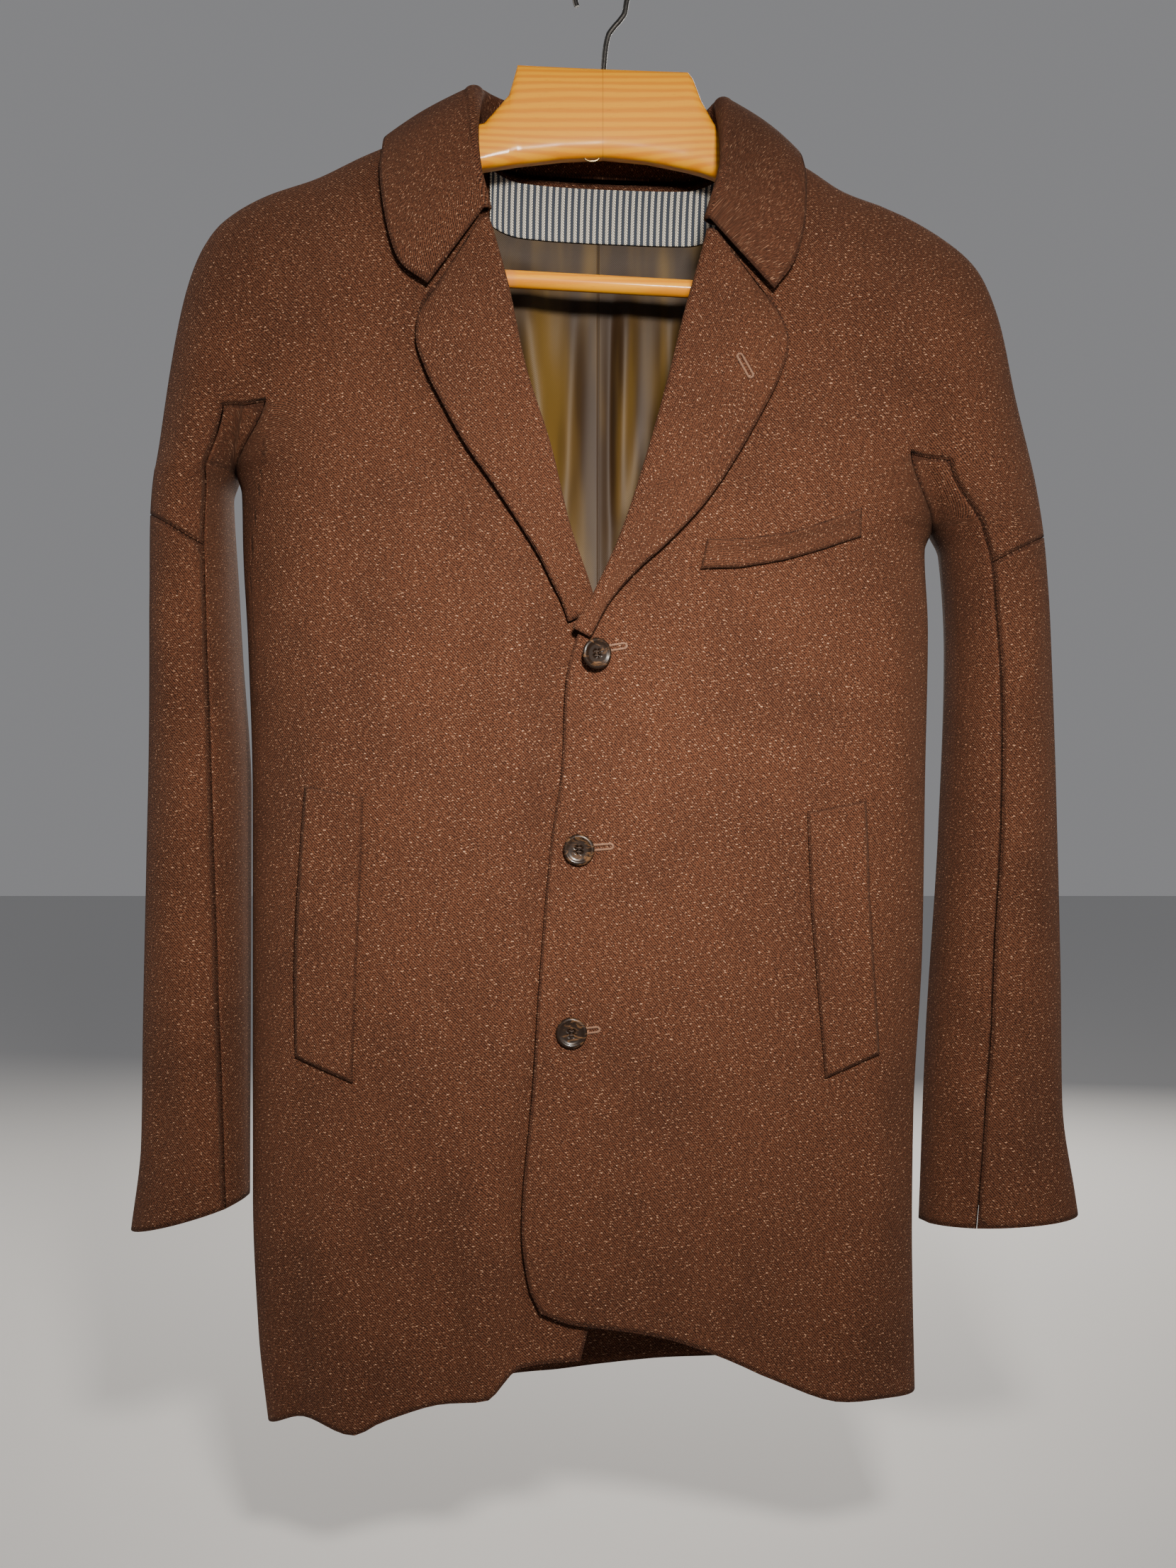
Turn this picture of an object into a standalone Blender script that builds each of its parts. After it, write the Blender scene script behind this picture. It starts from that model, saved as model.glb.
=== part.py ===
"""Wool jacket on a wooden hanger, as closed cloth walls, trim and a hanger.

Metres, +Z up, front towards -Y. The origin is the top of the hook's inner side, where the hanger is held.
Left and right are the viewer's, facing the front.

The cloth is one skin: a front and a back sheet that meet along the shoulders and the arms' outer edges, and
part at the armpits into a body tube and two sleeves. Each sewn piece is cut from that skin and gets a wall.
"""
import math

import bmesh
import bpy
import numpy as np
from mathutils import Matrix, Vector

MM = 0.001
SIDES = {"left": -1, "right": 1}

WALL = 2.4 * MM            # coat cloth
LINING_WALL = 1.0 * MM
SEAM = 0.15 * MM           # each piece stops this far before a seam
CLEAR = 0.3 * MM           # what lies on a piece stays this far off it

MID_FADE = 80 * MM         # height over which a sleeve drifts back below the armpit
CREASE_RISE = 120 * MM     # height of the crease above the armpit
SHOULDER_ROUND = 120 * MM  # fall over which the shoulder reaches the full depth
ARM_ROUND = 50 * MM
SIDE_ROUND = 110 * MM
BLEND_HALF = 60 * MM       # the two halves blend over this much each side of the centre
PIT_SLOPE = 190 * MM       # the row through the armpits slopes between them over this much each side
PIT_REACH = 60 * MM        # the wall thins towards the point of the armpit over this distance
PIT_THIN = 0.08
PIT_OWN = 5 * MM           # nearer than this each piece keeps its own direction
GUSSET_TOP = 0.8           # row fraction of the gusset's top, from shoulder to armpit


def table(names, rows):
    """Columns of a table given in millimetres, by name, in metres."""
    return dict(zip(names.split(), np.array(rows, float).T * MM))


# Edge of the cloth seen from the front, from the middle of the neck along the shoulder to the cuff
OUTLINE = {
    "left": table("x z", [
        (0, -88), (60, -92), (92, -102), (130, -117), (165, -132), (198, -149), (234, -163), (262, -182),
        (278, -207), (294, -257), (311, -340), (317, -390), (320, -480), (323.5, -600), (327, -740),
        (328.5, -822), (336, -885)]),
    "right": table("x z", [
        (0, -88), (60, -98), (92, -114), (140, -140), (165, -157), (198, -171), (230, -190), (255, -213),
        (271, -247), (284, -295), (300, -355), (306, -393), (312, -460), (318, -583), (322, -700),
        (324, -792), (334, -860), (337, -880)])}

# Side seam of the body below the armpit, and the inner edge of the sleeve beside it
BODY_SIDE = {
    "left": table("z x", [(-352, 257), (-366, 253), (-400, 252), (-473, 248), (-576, 245), (-853, 245),
                          (-950, 241), (-1014, 234)]),
    "right": table("z x", [(-392, 229), (-406, 224), (-458, 226), (-563, 224), (-682, 222), (-795, 216),
                           (-876, 215), (-990, 217)])}
SLEEVE_INNER = {
    "left": table("z x", [(-352, 257), (-366, 262), (-400, 261), (-473, 258), (-577, 252), (-880, 252)]),
    "right": table("z x", [(-392, 229), (-406, 236), (-475, 241), (-611, 236), (-744, 228), (-881, 223)])}
SLEEVE_SEAM = {
    "left": table("z x", [(-352, 270), (-411, 273), (-600, 270), (-883, 264)]),
    "right": table("z x", [(-392, 254), (-424, 262), (-545, 270), (-728, 265), (-881, 257)])}

ARMPIT = {"left": (257 * MM, -352 * MM), "right": (229 * MM, -392 * MM)}

# Crease that runs up from the armpit between body and arm
CREASE = {
    "left": table("z x", [(-157, 218), (-232, 232), (-312, 243), (-352, 257)]),
    "right": table("z x", [(-174, 205), (-272, 213), (-348, 219), (-392, 229)])}
CREASE_SOFT = 14 * MM

# Where rows of the upper part meet the gusset's two sides: at the shoulder, at its top, at the armpit
GUSSET = {
    "left": table("body sleeve", [(205, 232), (228, 256), (257, 270)]),
    "right": table("body sleeve", [(190, 222), (206, 232), (229, 254)])}

# Seam where the sleeve is sewn to the dropped shoulder, from the gusset to the arm's outer edge
DROP_SEAM = {"left": (-411 * MM, -380 * MM), "right": (-424 * MM, -396 * MM)}
CUFF = {"left": (-860 * MM, -884 * MM), "right": (-876 * MM, -872 * MM)}

# Inner edge of each front: the roll line of the lapel, then the free front edge
FRONT_EDGE = {
    "left": table("z x", [
        (-102, -92), (-123, -92), (-150, -89.5), (-179, -86), (-203, -79), (-240, -69), (-288, -59),
        (-346, -41), (-396, -29), (-434, -16), (-452, -10), (-480, 2), (-530, 14), (-700, 3), (-930, -10),
        (-958, -16)]),
    "right": table("z x", [
        (-114, 92), (-140, 87), (-169, 81), (-211, 71), (-254, 59), (-302, 47), (-352, 33), (-402, 16.5),
        (-445, -3), (-474, -19.8), (-503, -26), (-557, -28.7), (-607, -36), (-683, -42.4), (-766, -47.5),
        (-866, -55.5), (-905, -51), (-924, -43)])}

# First strip of each front, beside its inner edge: the part that dips under the other front on the left
FRONT_STRIP = {
    "left": table("z x", [(-102, -108), (-203, -106), (-346, -86), (-434, -60), (-503, -46), (-607, -56),
                          (-766, -66), (-958, -78)]),
    "right": table("z x", [(-114, 108), (-211, 92), (-352, 60), (-474, 4), (-683, -20), (-924, -22)])}

# How far the left front lies behind the common front surface under the other one
OVERLAP_DIP = table("z depth", [(-360, 0), (-410, 6), (-445, 12.5), (-480, 12.5), (-510, 9.5), (-560, 5),
                                (-640, 5.5), (-720, 9), (-860, 12), (-960, 8)])
DIP_WIDTH = 48 * MM

FRONT_HEM = {
    "left": table("x z", [(-16, -958), (-57, -962), (-80, -983), (-116, -988), (-150, -998), (-170, -1007),
                          (-205, -1000), (-234, -1011)]),
    "right": table("x z", [(-43, -924), (-21, -932), (3, -935), (43, -941), (85, -956), (113, -970),
                           (157, -985), (190, -987), (217, -990)])}
BACK_HEM = table("x z", [(-234, -1011), (-120, -1000), (-40, -991), (20, -982), (90, -980), (160, -986),
                         (217, -990)])
BACK_NECK = table("x z", [(-92, -102), (-84, -121), (-60, -131), (0, -135), (60, -137), (84, -131), (92, -114)])
NECK_HALF = 92 * MM

# Half depth of the cloth in front of and behind its middle, by height
DEPTH = table("z front back sleeve", [
    (-88, 52, 54, 60), (-200, 60, 58, 62), (-300, 66, 58, 64), (-420, 68, 56, 62), (-560, 66, 52, 57),
    (-700, 62, 49, 50), (-820, 57, 46, 41), (-1010, 50, 44, 36)])
SLEEVE_BACKSET = {
    "left": table("z y", [(-352, 8), (-450, 20), (-580, 28), (-884, 26)]),
    "right": table("z y", [(-392, 6), (-500, 13), (-700, 18), (-884, 20)])}
SHOULDER_FORWARD = 16 * MM

# Largest folds: line from top to foot, half width and depth into the coat at the foot; a ridge is negative
FRONT_FOLDS = table("x_top z_top x_foot z_foot width depth", [
    (-38, -560, -70, -960, 18, -7), (-95, -620, -112, -1000, 20, 5), (-165, -760, -172, -1010, 20, -6),
    (-205, -700, -208, -1010, 15, 5), (30, -800, 62, -960, 22, -5), (110, -780, 120, -985, 24, 5),
    (165, -820, 168, -990, 20, -4)])
BACK_FOLDS = table("x_top z_top x_foot z_foot width depth", [
    (-120, -330, -150, -1010, 24, 6), (-60, -420, -62, -1000, 26, -6), (20, -260, 10, -990, 22, 5),
    (95, -380, 110, -990, 26, -6), (160, -360, 165, -990, 20, 5)])

# Row and column spacing; the rows of the upper part run from the shoulder to the armpit
UPPER_ROWS = (0, 0.012, 0.04, 0.082, 0.145, 0.24, 0.36, 0.5, 0.65, GUSSET_TOP, 0.9, 1)
BODY_ROWS = (0, 0.02, 0.07, 0.14, 0.22, 0.3, 0.38, 0.47, 0.56, 0.65, 0.74, 0.83, 0.92, 1)
DROP_ROWS = (0, 0.3, 1)
SLEEVE_ROWS = 9
STRIP_COLUMNS = 3
CHEST_COLUMNS = 7
GUSSET_COLUMNS = 3
ARM_COLUMNS = 4
BACK_SHARES = (0, 0.3, 0.55, 0.75, 0.9, 1)

# Lapels from the gorge to the break: height on the roll line, outer edge, and radius of the roll
LAPEL = {
    "left": table("roll_z outer_x outer_z radius", [
        (-190, 114, -243, 4.4), (-206, 124, -259, 4.4), (-224, 125, -273, 4.4), (-246, 119, -293, 4.4),
        (-276, 108, -315, 4.4), (-308, 93, -342, 4.4), (-340, 75, -368, 4.4), (-372, 57, -395, 4.4),
        (-402, 43, -418, 4.4), (-422, 35, -434, 4.4), (-438, 28, -448, 4.4), (-453, 24, -460, 4.2)]),
    "right": table("roll_z outer_x outer_z radius", [
        (-198, 108, -246, 4.4), (-214, 118, -261, 4.4), (-231, 122, -277, 4.4), (-252, 116, -298, 4.4),
        (-280, 104, -322, 4.4), (-310, 87, -352, 4.4), (-340, 68, -380, 4.4), (-372, 43, -407, 4.4),
        (-404, 21, -427, 4.4), (-434, 3, -448, 4.4), (-456, -5, -463, 4.2), (-467, -9, -471, 4.0)])}
LAPEL_STAND = 3.2 * MM     # the outer edge stands this much further off the front than the roll
ROLL_GAP = 1.7 * MM
ROLL_STEPS = 4
LEAF_STEPS = 4

# Collar from one gorge round the back to the other: seam, fold and leaf edge, and in degrees the way it faces
COLLAR = table("base_x base_z fold_x fold_y fold_z leaf_x leaf_z", [
    (-84.7, -185, -80, -57, -184, -117, -237), (-88, -165, -84, -52, -160, -136, -222),
    (-90.5, -143, -87, -45, -132, -146, -190), (-92, -118, -88, -22, -98, -151, -150),
    (-92, -102, -88, 6, -80, -150, -119), (-90, -109, -84, 18, -79, -138, -124),
    (-84, -121, -76, 28, -80, -116, -134), (-45, -133, -44, 46, -84, -62, -156),
    (0, -135, 0, 50, -87, 0, -163), (45, -137, 44, 46, -90, 60, -162), (84, -131, 74, 28, -89, 106, -143),
    (90, -120, 78, 18, -88, 121, -134), (92, -114, 80, 6, -89, 133, -129),
    (89, -130, 80, -22, -109, 136, -156), (84.5, -152, 80, -45, -143, 134, -190),
    (80, -172, 76, -52, -167, 126, -221), (76.6, -193, 72, -57, -192, 112, -241)])
COLLAR["turn"] = np.array([
    -90, -92, -100, -130, -180, -202, -225, -255, -270,
    -285, -315, -338, -360, -410, -440, -448, -450])
LEAF_BULGE = 3 * MM
LEAF_OFF = 9 * MM          # leaf edge off the panel below it
LEAF_CLEAR = WALL + 2 * MM  # the whole leaf keeps at least this far off
COLLAR_RADIUS = 4.4 * MM
COLLAR_STATIONS = 33       # sections that the solid has round the neck
STAND_LEAST = COLLAR_RADIUS + ROLL_GAP + 0.6 * MM
BACK_TURN = (-360, -180)   # directions between which the collar is sewn to the back
SAMPLE_REACH = (60 * MM, 200 * MM)  # stretch of the skin that the leaf is kept off
SAMPLE_FALL = 160 * MM
SAMPLES = 50

BAND = {"drop": 3 * MM, "height": 38 * MM, "wall": 1.2 * MM, "gap": 4.2 * MM}
LINING = {"left": -175 * MM, "right": 165 * MM, "foot": -955 * MM, "below_shoulder": 66 * MM, "gap": 2 * MM,
          "loose": 5 * MM, "loose_fall": 60 * MM, "under_band": 6 * MM}
LINING_FOLDS = table("x_top z_top x_foot z_foot width depth", [
    (-52, -190, -48, -960, 15, 7), (-4, -200, -6, -960, 14, 6), (32, -185, 30, -960, 15, 8),
    (-110, -240, -118, -960, 20, 6), (95, -260, 100, -960, 20, 6)])

# Welts: rows across them give their two edges, x and z on each
WELTS = {
    "welt_chest": table("x0 z0 x1 z1", [(67.6, -404.6, 62.9, -425.3), (94, -404.6, 90, -424.5),
                                        (122, -401, 120, -419.5), (148, -392, 147, -411.5),
                                        (171, -383, 171, -402.7)]),
    "welt_hand_left": table("x0 z0 x1 z1", [(-200, -568, -160, -576), (-203, -630, -162, -636),
                                            (-206, -690, -165, -696), (-208, -752, -168, -768)]),
    "welt_hand_right": table("x0 z0 x1 z1", [(134, -586, 175, -578), (137, -653, 176, -640),
                                             (142, -710, 180, -695), (147, -765, 185, -750)])}
WELT_WALL = 2.2 * MM
WELT_OFF = 1.5 * MM
WELT_STEPS = 2

# Buttons: place on the overlapping front, and how far each is turned about the vertical
BUTTONS = {
    "button_top": (-6.2, -481.2, 24), "button_middle": (-17, -611.4, 0), "button_bottom": (-22.1, -733.6, 0)}
BUTTON_RADIUS = 10.5 * MM
BUTTON_PROFILE = table("r h", [
    (0, 0), (7.5, 0), (10, 1.2), (10.5, 2.4), (9.6, 3.8), (8.6, 4), (7.4, 3.3), (0, 3)])
BUTTON_SIDES = 24
BUTTON_SPAN = 4 * MM       # the front is tangent to the button over this much
HOLE_RADIUS = 1.1 * MM
HOLE_OFF = 1.9 * MM
HOLE_DEPTH = (-2 * MM, 8 * MM)
HOLE_SIDES = 8

# Hanger seen from the front: upper and lower edge; beyond the neck its upper edge follows the shoulder
BLOCK = table("x top bottom", [
    (-90, -110, -141), (-83, -108, -139.5), (-73.3, -96.7, -138), (-66, -88, -137), (-62.5, -76, -136.4),
    (-60, -67, -136), (-30, -68.3, -132.5), (0, -69.6, -131), (30, -70.8, -134), (58.5, -72, -140),
    (62, -77, -141), (68, -92.7, -142.6), (75.2, -106, -145), (83, -119, -148.6), (90, -118, -151)])
ARM_FOOT = table("x left right", [
    (90, -141, -151), (130, -156, -172), (181, -184, -204), (181.4, -222, -243), (212, -224, -244),
    (224, -214, -232)])
ARM_UNDER = 6 * MM       # arm's upper edge below the outline of the cloth
ARM_STATIONS = (90, 105, 130, 155, 181, 181.4, 200, 214, 224)
BLOCK_DEPTH = 10.5 * MM
ARM_END_DEPTH = 12 * MM
ARM_START, ARM_END = 90 * MM, 224 * MM
SECTION_SIDES = 12
SQUARE = 0.6               # power that squares the section's corners; 1 leaves it round
BAR = {"half_length": 180.6 * MM, "z": -218.4 * MM, "slope": 0.0557, "radius": 6.25 * MM, "sides": 12}
WIRE = 1.9 * MM
HOOK_STEM = table("x z", [(-0.3, -69), (0.9, -55.3), (3.1, -44.5), (6.9, -38.9), (11.3, -33.8), (14.5, -28.8)])
HOOK_LOOP = {"x": -2 * MM, "z": -16.5 * MM, "radius": 18.4 * MM, "start": -15, "end": 205, "steps": 22}
WIRE_SIDES = 8

COLOURS = {
    "wool": ((0.118, 0.050, 0.026), 0.95, 0.0), "lining": ((0.160, 0.090, 0.028), 0.45, 0.0),
    "stripe": ((0.300, 0.270, 0.230), 0.85, 0.0), "horn": ((0.030, 0.020, 0.013), 0.25, 0.0),
    "wood": ((0.870, 0.560, 0.110), 0.30, 0.0), "steel": ((0.600, 0.590, 0.570), 0.25, 1.0)}


def curve(value, knots, heights):
    """Smooth monotone curve through a table's points, level beyond its ends."""
    order = np.argsort(knots)
    k, h = knots[order], heights[order]
    value = np.clip(value, k[0], k[-1])
    i = np.clip(np.searchsorted(k, value) - 1, 0, len(k) - 2)
    step, rise = np.diff(k), np.diff(h) / np.diff(k)
    product = rise[:-1] * rise[1:]
    total = np.where(product > 0, rise[:-1] + rise[1:], 1)
    slope = np.concatenate([rise[:1], np.where(product > 0, 2 * product / total, 0), rise[-1:]])
    u = (value - k[i]) / step[i]
    return (h[i] * (1 + 2 * u) * (1 - u) ** 2 + slope[i] * step[i] * u * (1 - u) ** 2
            + h[i + 1] * u * u * (3 - 2 * u) + slope[i + 1] * step[i] * u * u * (u - 1))


def ease(value):
    """0 below 0, 1 above 1 and a smooth step between."""
    u = np.clip(value, 0, 1)
    return u * u * (3 - 2 * u)


def arch(q):
    """Quarter ellipse: height over the distance from its edge, both as fractions."""
    q = np.clip(q, 0, 1)
    return np.sqrt(q * (2 - q))


def edge_distance(side, x, z):
    """Distance inside the outline, from the fall below the shoulder and the way to the arm's edge."""
    fall = np.maximum(curve(x, OUTLINE[side]["x"], OUTLINE[side]["z"]) - z, 0)
    reach = np.maximum(curve(z, OUTLINE[side]["z"], OUTLINE[side]["x"]) - x, 0)
    span = np.maximum(np.hypot(fall, reach), 1e-9)
    return fall * reach / span, reach * reach / span ** 2


def upper_profile(side, x, z):
    """Depth fraction of the single sheet over body and arm."""
    distance, shoulder = edge_distance(side, x, z)
    return arch(distance / (ARM_ROUND + (SHOULDER_ROUND - ARM_ROUND) * shoulder))


def lobe_edge(listed, side, z):
    """Edge of the body or the sleeve: the crease above the armpit, the listed edge below it."""
    crease = curve(z, CREASE[side]["z"], CREASE[side]["x"])
    return np.where(z > ARMPIT[side][1], crease, curve(z, listed[side]["z"], listed[side]["x"]))


def softened(distance, side, z):
    """Distance from the crease with a rounded start, so the crease is a soft trough above the armpit."""
    soft = CREASE_SOFT * arch((z - ARMPIT[side][1]) / CREASE_RISE)
    return np.hypot(np.maximum(distance, 0), soft) - soft


def body_profile(side, x, z):
    """Depth fraction of the body tube, falling to its side seam."""
    return arch(softened(lobe_edge(BODY_SIDE, side, z) - x, side, z) / SIDE_ROUND)


def sleeve_profile(side, x, z):
    """Depth fraction of the sleeve, an ellipse between its inner and outer edge."""
    inner = lobe_edge(SLEEVE_INNER, side, z)
    outer = curve(z, OUTLINE[side]["z"], OUTLINE[side]["x"])
    half = (outer - inner) / 2
    from_inner = softened(x - inner, side, z)
    return arch(np.maximum(np.minimum(from_inner, outer - x), 0) / half)


def half_depth(side, x, z, face, part):
    """Depth of the skin before or behind its middle, for the upper, body or sleeve part."""
    body = curve(z, DEPTH["z"], DEPTH[face])
    arm = curve(z, DEPTH["z"], DEPTH["sleeve"])
    pit_z = ARMPIT[side][1]
    if part == "body":
        return body * body_profile(side, x, z)
    if part == "sleeve":
        return arm * sleeve_profile(side, x, z)
    other = "left" if side == "right" else "right"
    share = 0.5 * (1 - ease(x / BLEND_HALF))
    whole = body * ((1 - share) * upper_profile(side, x, z) + share * upper_profile(other, x, z))
    lobes = np.where(x < lobe_edge(BODY_SIDE, side, z),
                     body * body_profile(side, x, z), arm * sleeve_profile(side, x, z))
    crease = 1 - arch((z - pit_z) / CREASE_RISE)
    return (1 - crease) * whole + crease * lobes


def middle(side, x, z, part):
    """Where the middle of the skin lies: shoulders bend forward, sleeves hang further back."""
    pit_x, pit_z = ARMPIT[side]
    backset = curve(z, SLEEVE_BACKSET[side]["z"], SLEEVE_BACKSET[side]["y"])
    low = ease((-200 * MM - z) / (150 * MM))
    forward = -SHOULDER_FORWARD * (x / 0.25) ** 2 * (1 - low)
    shared = forward + low * backset * ease((x - pit_x + 30 * MM) / (60 * MM))
    fade = ease(1 - (pit_z - z) / MID_FADE)
    if part == "body":
        return shared * fade
    if part == "sleeve":
        return shared * fade + backset * (1 - fade)
    return shared


def folds(listed, x, z):
    """Depth of the listed folds: a soft trough round each line that deepens towards its foot."""
    depth = np.zeros(np.broadcast(x, z).shape)
    columns = (listed[n] for n in "x_top z_top x_foot z_foot width depth".split())
    for x0, z0, x1, z1, width, foot in zip(*columns):
        run = np.clip((z0 - z) / (z0 - z1), 0, 1)
        across = (x - (x0 + (x1 - x0) * run)) / width
        depth += foot * np.exp(-across ** 2) * ease(run)
    return depth


def overlap_dip(x, z):
    """How far the left front dips behind the common surface near the other front's edge."""
    edge = curve(z, FRONT_EDGE["right"]["z"], FRONT_EDGE["right"]["x"])
    return curve(z, OVERLAP_DIP["z"], OVERLAP_DIP["depth"]) * ease((x - edge + DIP_WIDTH) / DIP_WIDTH)


def skin_points(side, x, z, face, part, dip=True):
    """Points of the skin at distances x from the centre on one side and heights z."""
    depth = half_depth(side, x, z, face, part)
    across = SIDES[side] * x
    inside = depth / (depth + 12 * MM)
    if face == "front":
        y = middle(side, x, z, part) - depth + folds(FRONT_FOLDS, across, z) * inside
        if side == "left" and dip:
            y = y + overlap_dip(across, z) * inside
    else:
        y = middle(side, x, z, part) + depth - folds(BACK_FOLDS, across, z) * inside
    return np.stack([across + 0 * y, y, z + 0 * y], axis=-1)


def front_sheet(x, z):
    """Point of the common front surface at signed x, without the dip, for what lies on it."""
    x, z = np.asarray(x, float), np.asarray(z, float)
    parts = []
    for side, sign in SIDES.items():
        pit = ARMPIT[side][1]
        upper = skin_points(side, sign * x, z, "front", "upper", False)
        lower = skin_points(side, sign * x, z, "front", "body", False)
        parts.append(np.where((z > pit)[..., None], upper, lower))
    return np.where((x > 0)[..., None], parts[1], parts[0])


def left_sheet(x, z):
    """Point of the left front's surface at signed x, with its dip."""
    points = front_sheet(x, z)
    return points + np.stack([0 * points[..., 1], overlap_dip(x, z), 0 * points[..., 1]], axis=-1)


def turned(count):
    """Fractions from 0 to 1, closer together towards 1, as equal angles of a quarter circle."""
    return np.sin(np.linspace(0, math.pi / 2, count + 1))


def spaced(count):
    return np.linspace(0, 1, count + 1)


def between(start, end, fractions):
    """Columns between two edges: start and end hold a value for each row."""
    return start[:, None] + (end - start)[:, None] * fractions[None, :]


def pit_row(side, x):
    """Height of the row through the armpits: the two sides differ, so it slopes between them."""
    level = (ARMPIT["left"][1] + ARMPIT["right"][1]) / 2
    return level + (ARMPIT[side][1] - level) * np.clip(x / PIT_SLOPE, -1, 1)


def fitted(side, listed, heights):
    """Distance of a table's line from the centre where sloping rows cross it; heights gives the rows at x."""
    x = SIDES[side] * listed["x"].mean()
    for step in range(6):
        x = SIDES[side] * curve(heights(x), listed["z"], listed["x"])
    return x


def upper_columns(side, face):
    """x and z of the upper part's grid, and the columns where the gusset begins and ends."""
    rows = np.array(UPPER_ROWS)
    pit_x, pit_z = ARMPIT[side]
    knots = np.array([0, GUSSET_TOP, 1])
    gusset_body = curve(rows, knots, GUSSET[side]["body"])
    gusset_sleeve = curve(rows, knots, GUSSET[side]["sleeve"])
    corner_x = 262 * MM
    corner_z = curve(corner_x, OUTLINE[side]["x"], OUTLINE[side]["z"])
    outer_z = corner_z + (pit_z - corner_z) * rows
    outer = curve(outer_z, OUTLINE[side]["z"], OUTLINE[side]["x"])
    outer[0] = corner_x
    sign = SIDES[side]
    top = FRONT_EDGE[side]["z"].max()
    inner, strip = (fitted(side, listed[side], lambda x: top + (pit_row(side, x) - top) * rows)
                    for listed in (FRONT_EDGE, FRONT_STRIP))
    first = []
    if face == "back":
        inner, strip = inner[0] + 0 * rows, strip[0] + 0 * rows
        first = [between(0 * rows, inner, np.array(BACK_SHARES))[:, :-1]]
    first.append(between(inner, strip, spaced(STRIP_COLUMNS))[:, :-1])
    crease_x = CREASE[side]["x"][0]
    crease_top = curve(crease_x, OUTLINE[side]["x"], OUTLINE[side]["z"])
    crease = curve(crease_top + (pit_z - crease_top) * rows, CREASE[side]["z"], CREASE[side]["x"])
    chest = between(strip, gusset_body, turned(CHEST_COLUMNS))[:, :-1]
    gusset = between(crease, gusset_sleeve, turned(GUSSET_COLUMNS))[:, :-1]
    arm = between(gusset_sleeve, outer, turned(ARM_COLUMNS))
    x = np.concatenate(first + [chest, gusset_body[:, None], gusset, arm], axis=1)
    top_z = curve(x[0], OUTLINE[side]["x"], OUTLINE[side]["z"])
    if face == "back":
        neck = curve(sign * x[0], BACK_NECK["x"], BACK_NECK["z"])
        top_z = np.where(x[0] < NECK_HALF - 1e-6, neck, top_z)
    z = top_z[None, :] + (pit_row(side, x) - top_z[None, :]) * rows[:, None]
    starts = sum(block.shape[1] for block in first) + CHEST_COLUMNS
    return x, z, starts, starts + 1 + GUSSET_COLUMNS


def body_columns(side, face):
    """x and z of the body's grid below the armpit."""
    rows = np.array(BODY_ROWS)
    pit_z = ARMPIT[side][1]
    sign = SIDES[side]
    side_hem = curve(sign * 0.3, BACK_HEM["x"], BACK_HEM["z"])
    side_z = pit_z + (side_hem - pit_z) * rows
    side_x = curve(side_z, BODY_SIDE[side]["z"], BODY_SIDE[side]["x"])
    hem = FRONT_HEM[side] if face == "front" else BACK_HEM
    if face == "front":
        def heights(x_now):
            start = pit_row(side, x_now)
            return start + (curve(sign * x_now, hem["x"], hem["z"]) - start) * rows

        inner, strip = (fitted(side, listed[side], heights) for listed in (FRONT_EDGE, FRONT_STRIP))
        first = []
    else:
        inner = sign * FRONT_EDGE[side]["x"][0] + 0 * rows
        strip = sign * FRONT_STRIP[side]["x"][0] + 0 * rows
        first = [between(0 * rows, inner, np.array(BACK_SHARES))[:, :-1]]
    first.append(between(inner, strip, spaced(STRIP_COLUMNS))[:, :-1])
    x = np.concatenate(first + [between(strip, side_x, turned(CHEST_COLUMNS))], axis=1)
    hem_z = curve(sign * x[-1], hem["x"], hem["z"])
    hem_z[-1] = side_hem
    start_z = pit_row(side, x)
    return x, start_z + (hem_z[None, :] - start_z) * rows[:, None]


def sleeve_columns(side):
    """x and z of one half of the sleeve from the armpit to the cuff: inner half, then outer half."""
    pit_z = ARMPIT[side][1]
    seam_z, outer_z = DROP_SEAM[side]
    cuff_inner, cuff_outer = CUFF[side]
    inner_x, reach = ARMPIT[side][0], 70 * MM

    def heights(x_now):
        share = np.clip((x_now - inner_x) / reach, 0, 1)
        drop = seam_z + (outer_z - seam_z) * share
        cuff = cuff_inner + (cuff_outer - cuff_inner) * share
        upper = pit_z + (drop - pit_z) * np.array(DROP_ROWS)[:, None]
        lower = drop + (cuff - drop) * spaced(SLEEVE_ROWS)[1:, None]
        return np.concatenate([upper, lower])

    shares = np.concatenate([turned(GUSSET_COLUMNS)[:-1] * 0.2, 0.2 + turned(ARM_COLUMNS) * 0.8])
    z = heights(inner_x + reach * shares)
    inner = curve(z[:, 0], SLEEVE_INNER[side]["z"], SLEEVE_INNER[side]["x"])
    seam = curve(z[:, GUSSET_COLUMNS], SLEEVE_SEAM[side]["z"], SLEEVE_SEAM[side]["x"])
    outer = curve(z[:, -1], OUTLINE[side]["z"], OUTLINE[side]["x"])
    under = between(inner, seam, turned(GUSSET_COLUMNS))
    top = between(seam, outer, turned(ARM_COLUMNS))
    return under, z[:, :GUSSET_COLUMNS + 1], top, z[:, GUSSET_COLUMNS:]


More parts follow.
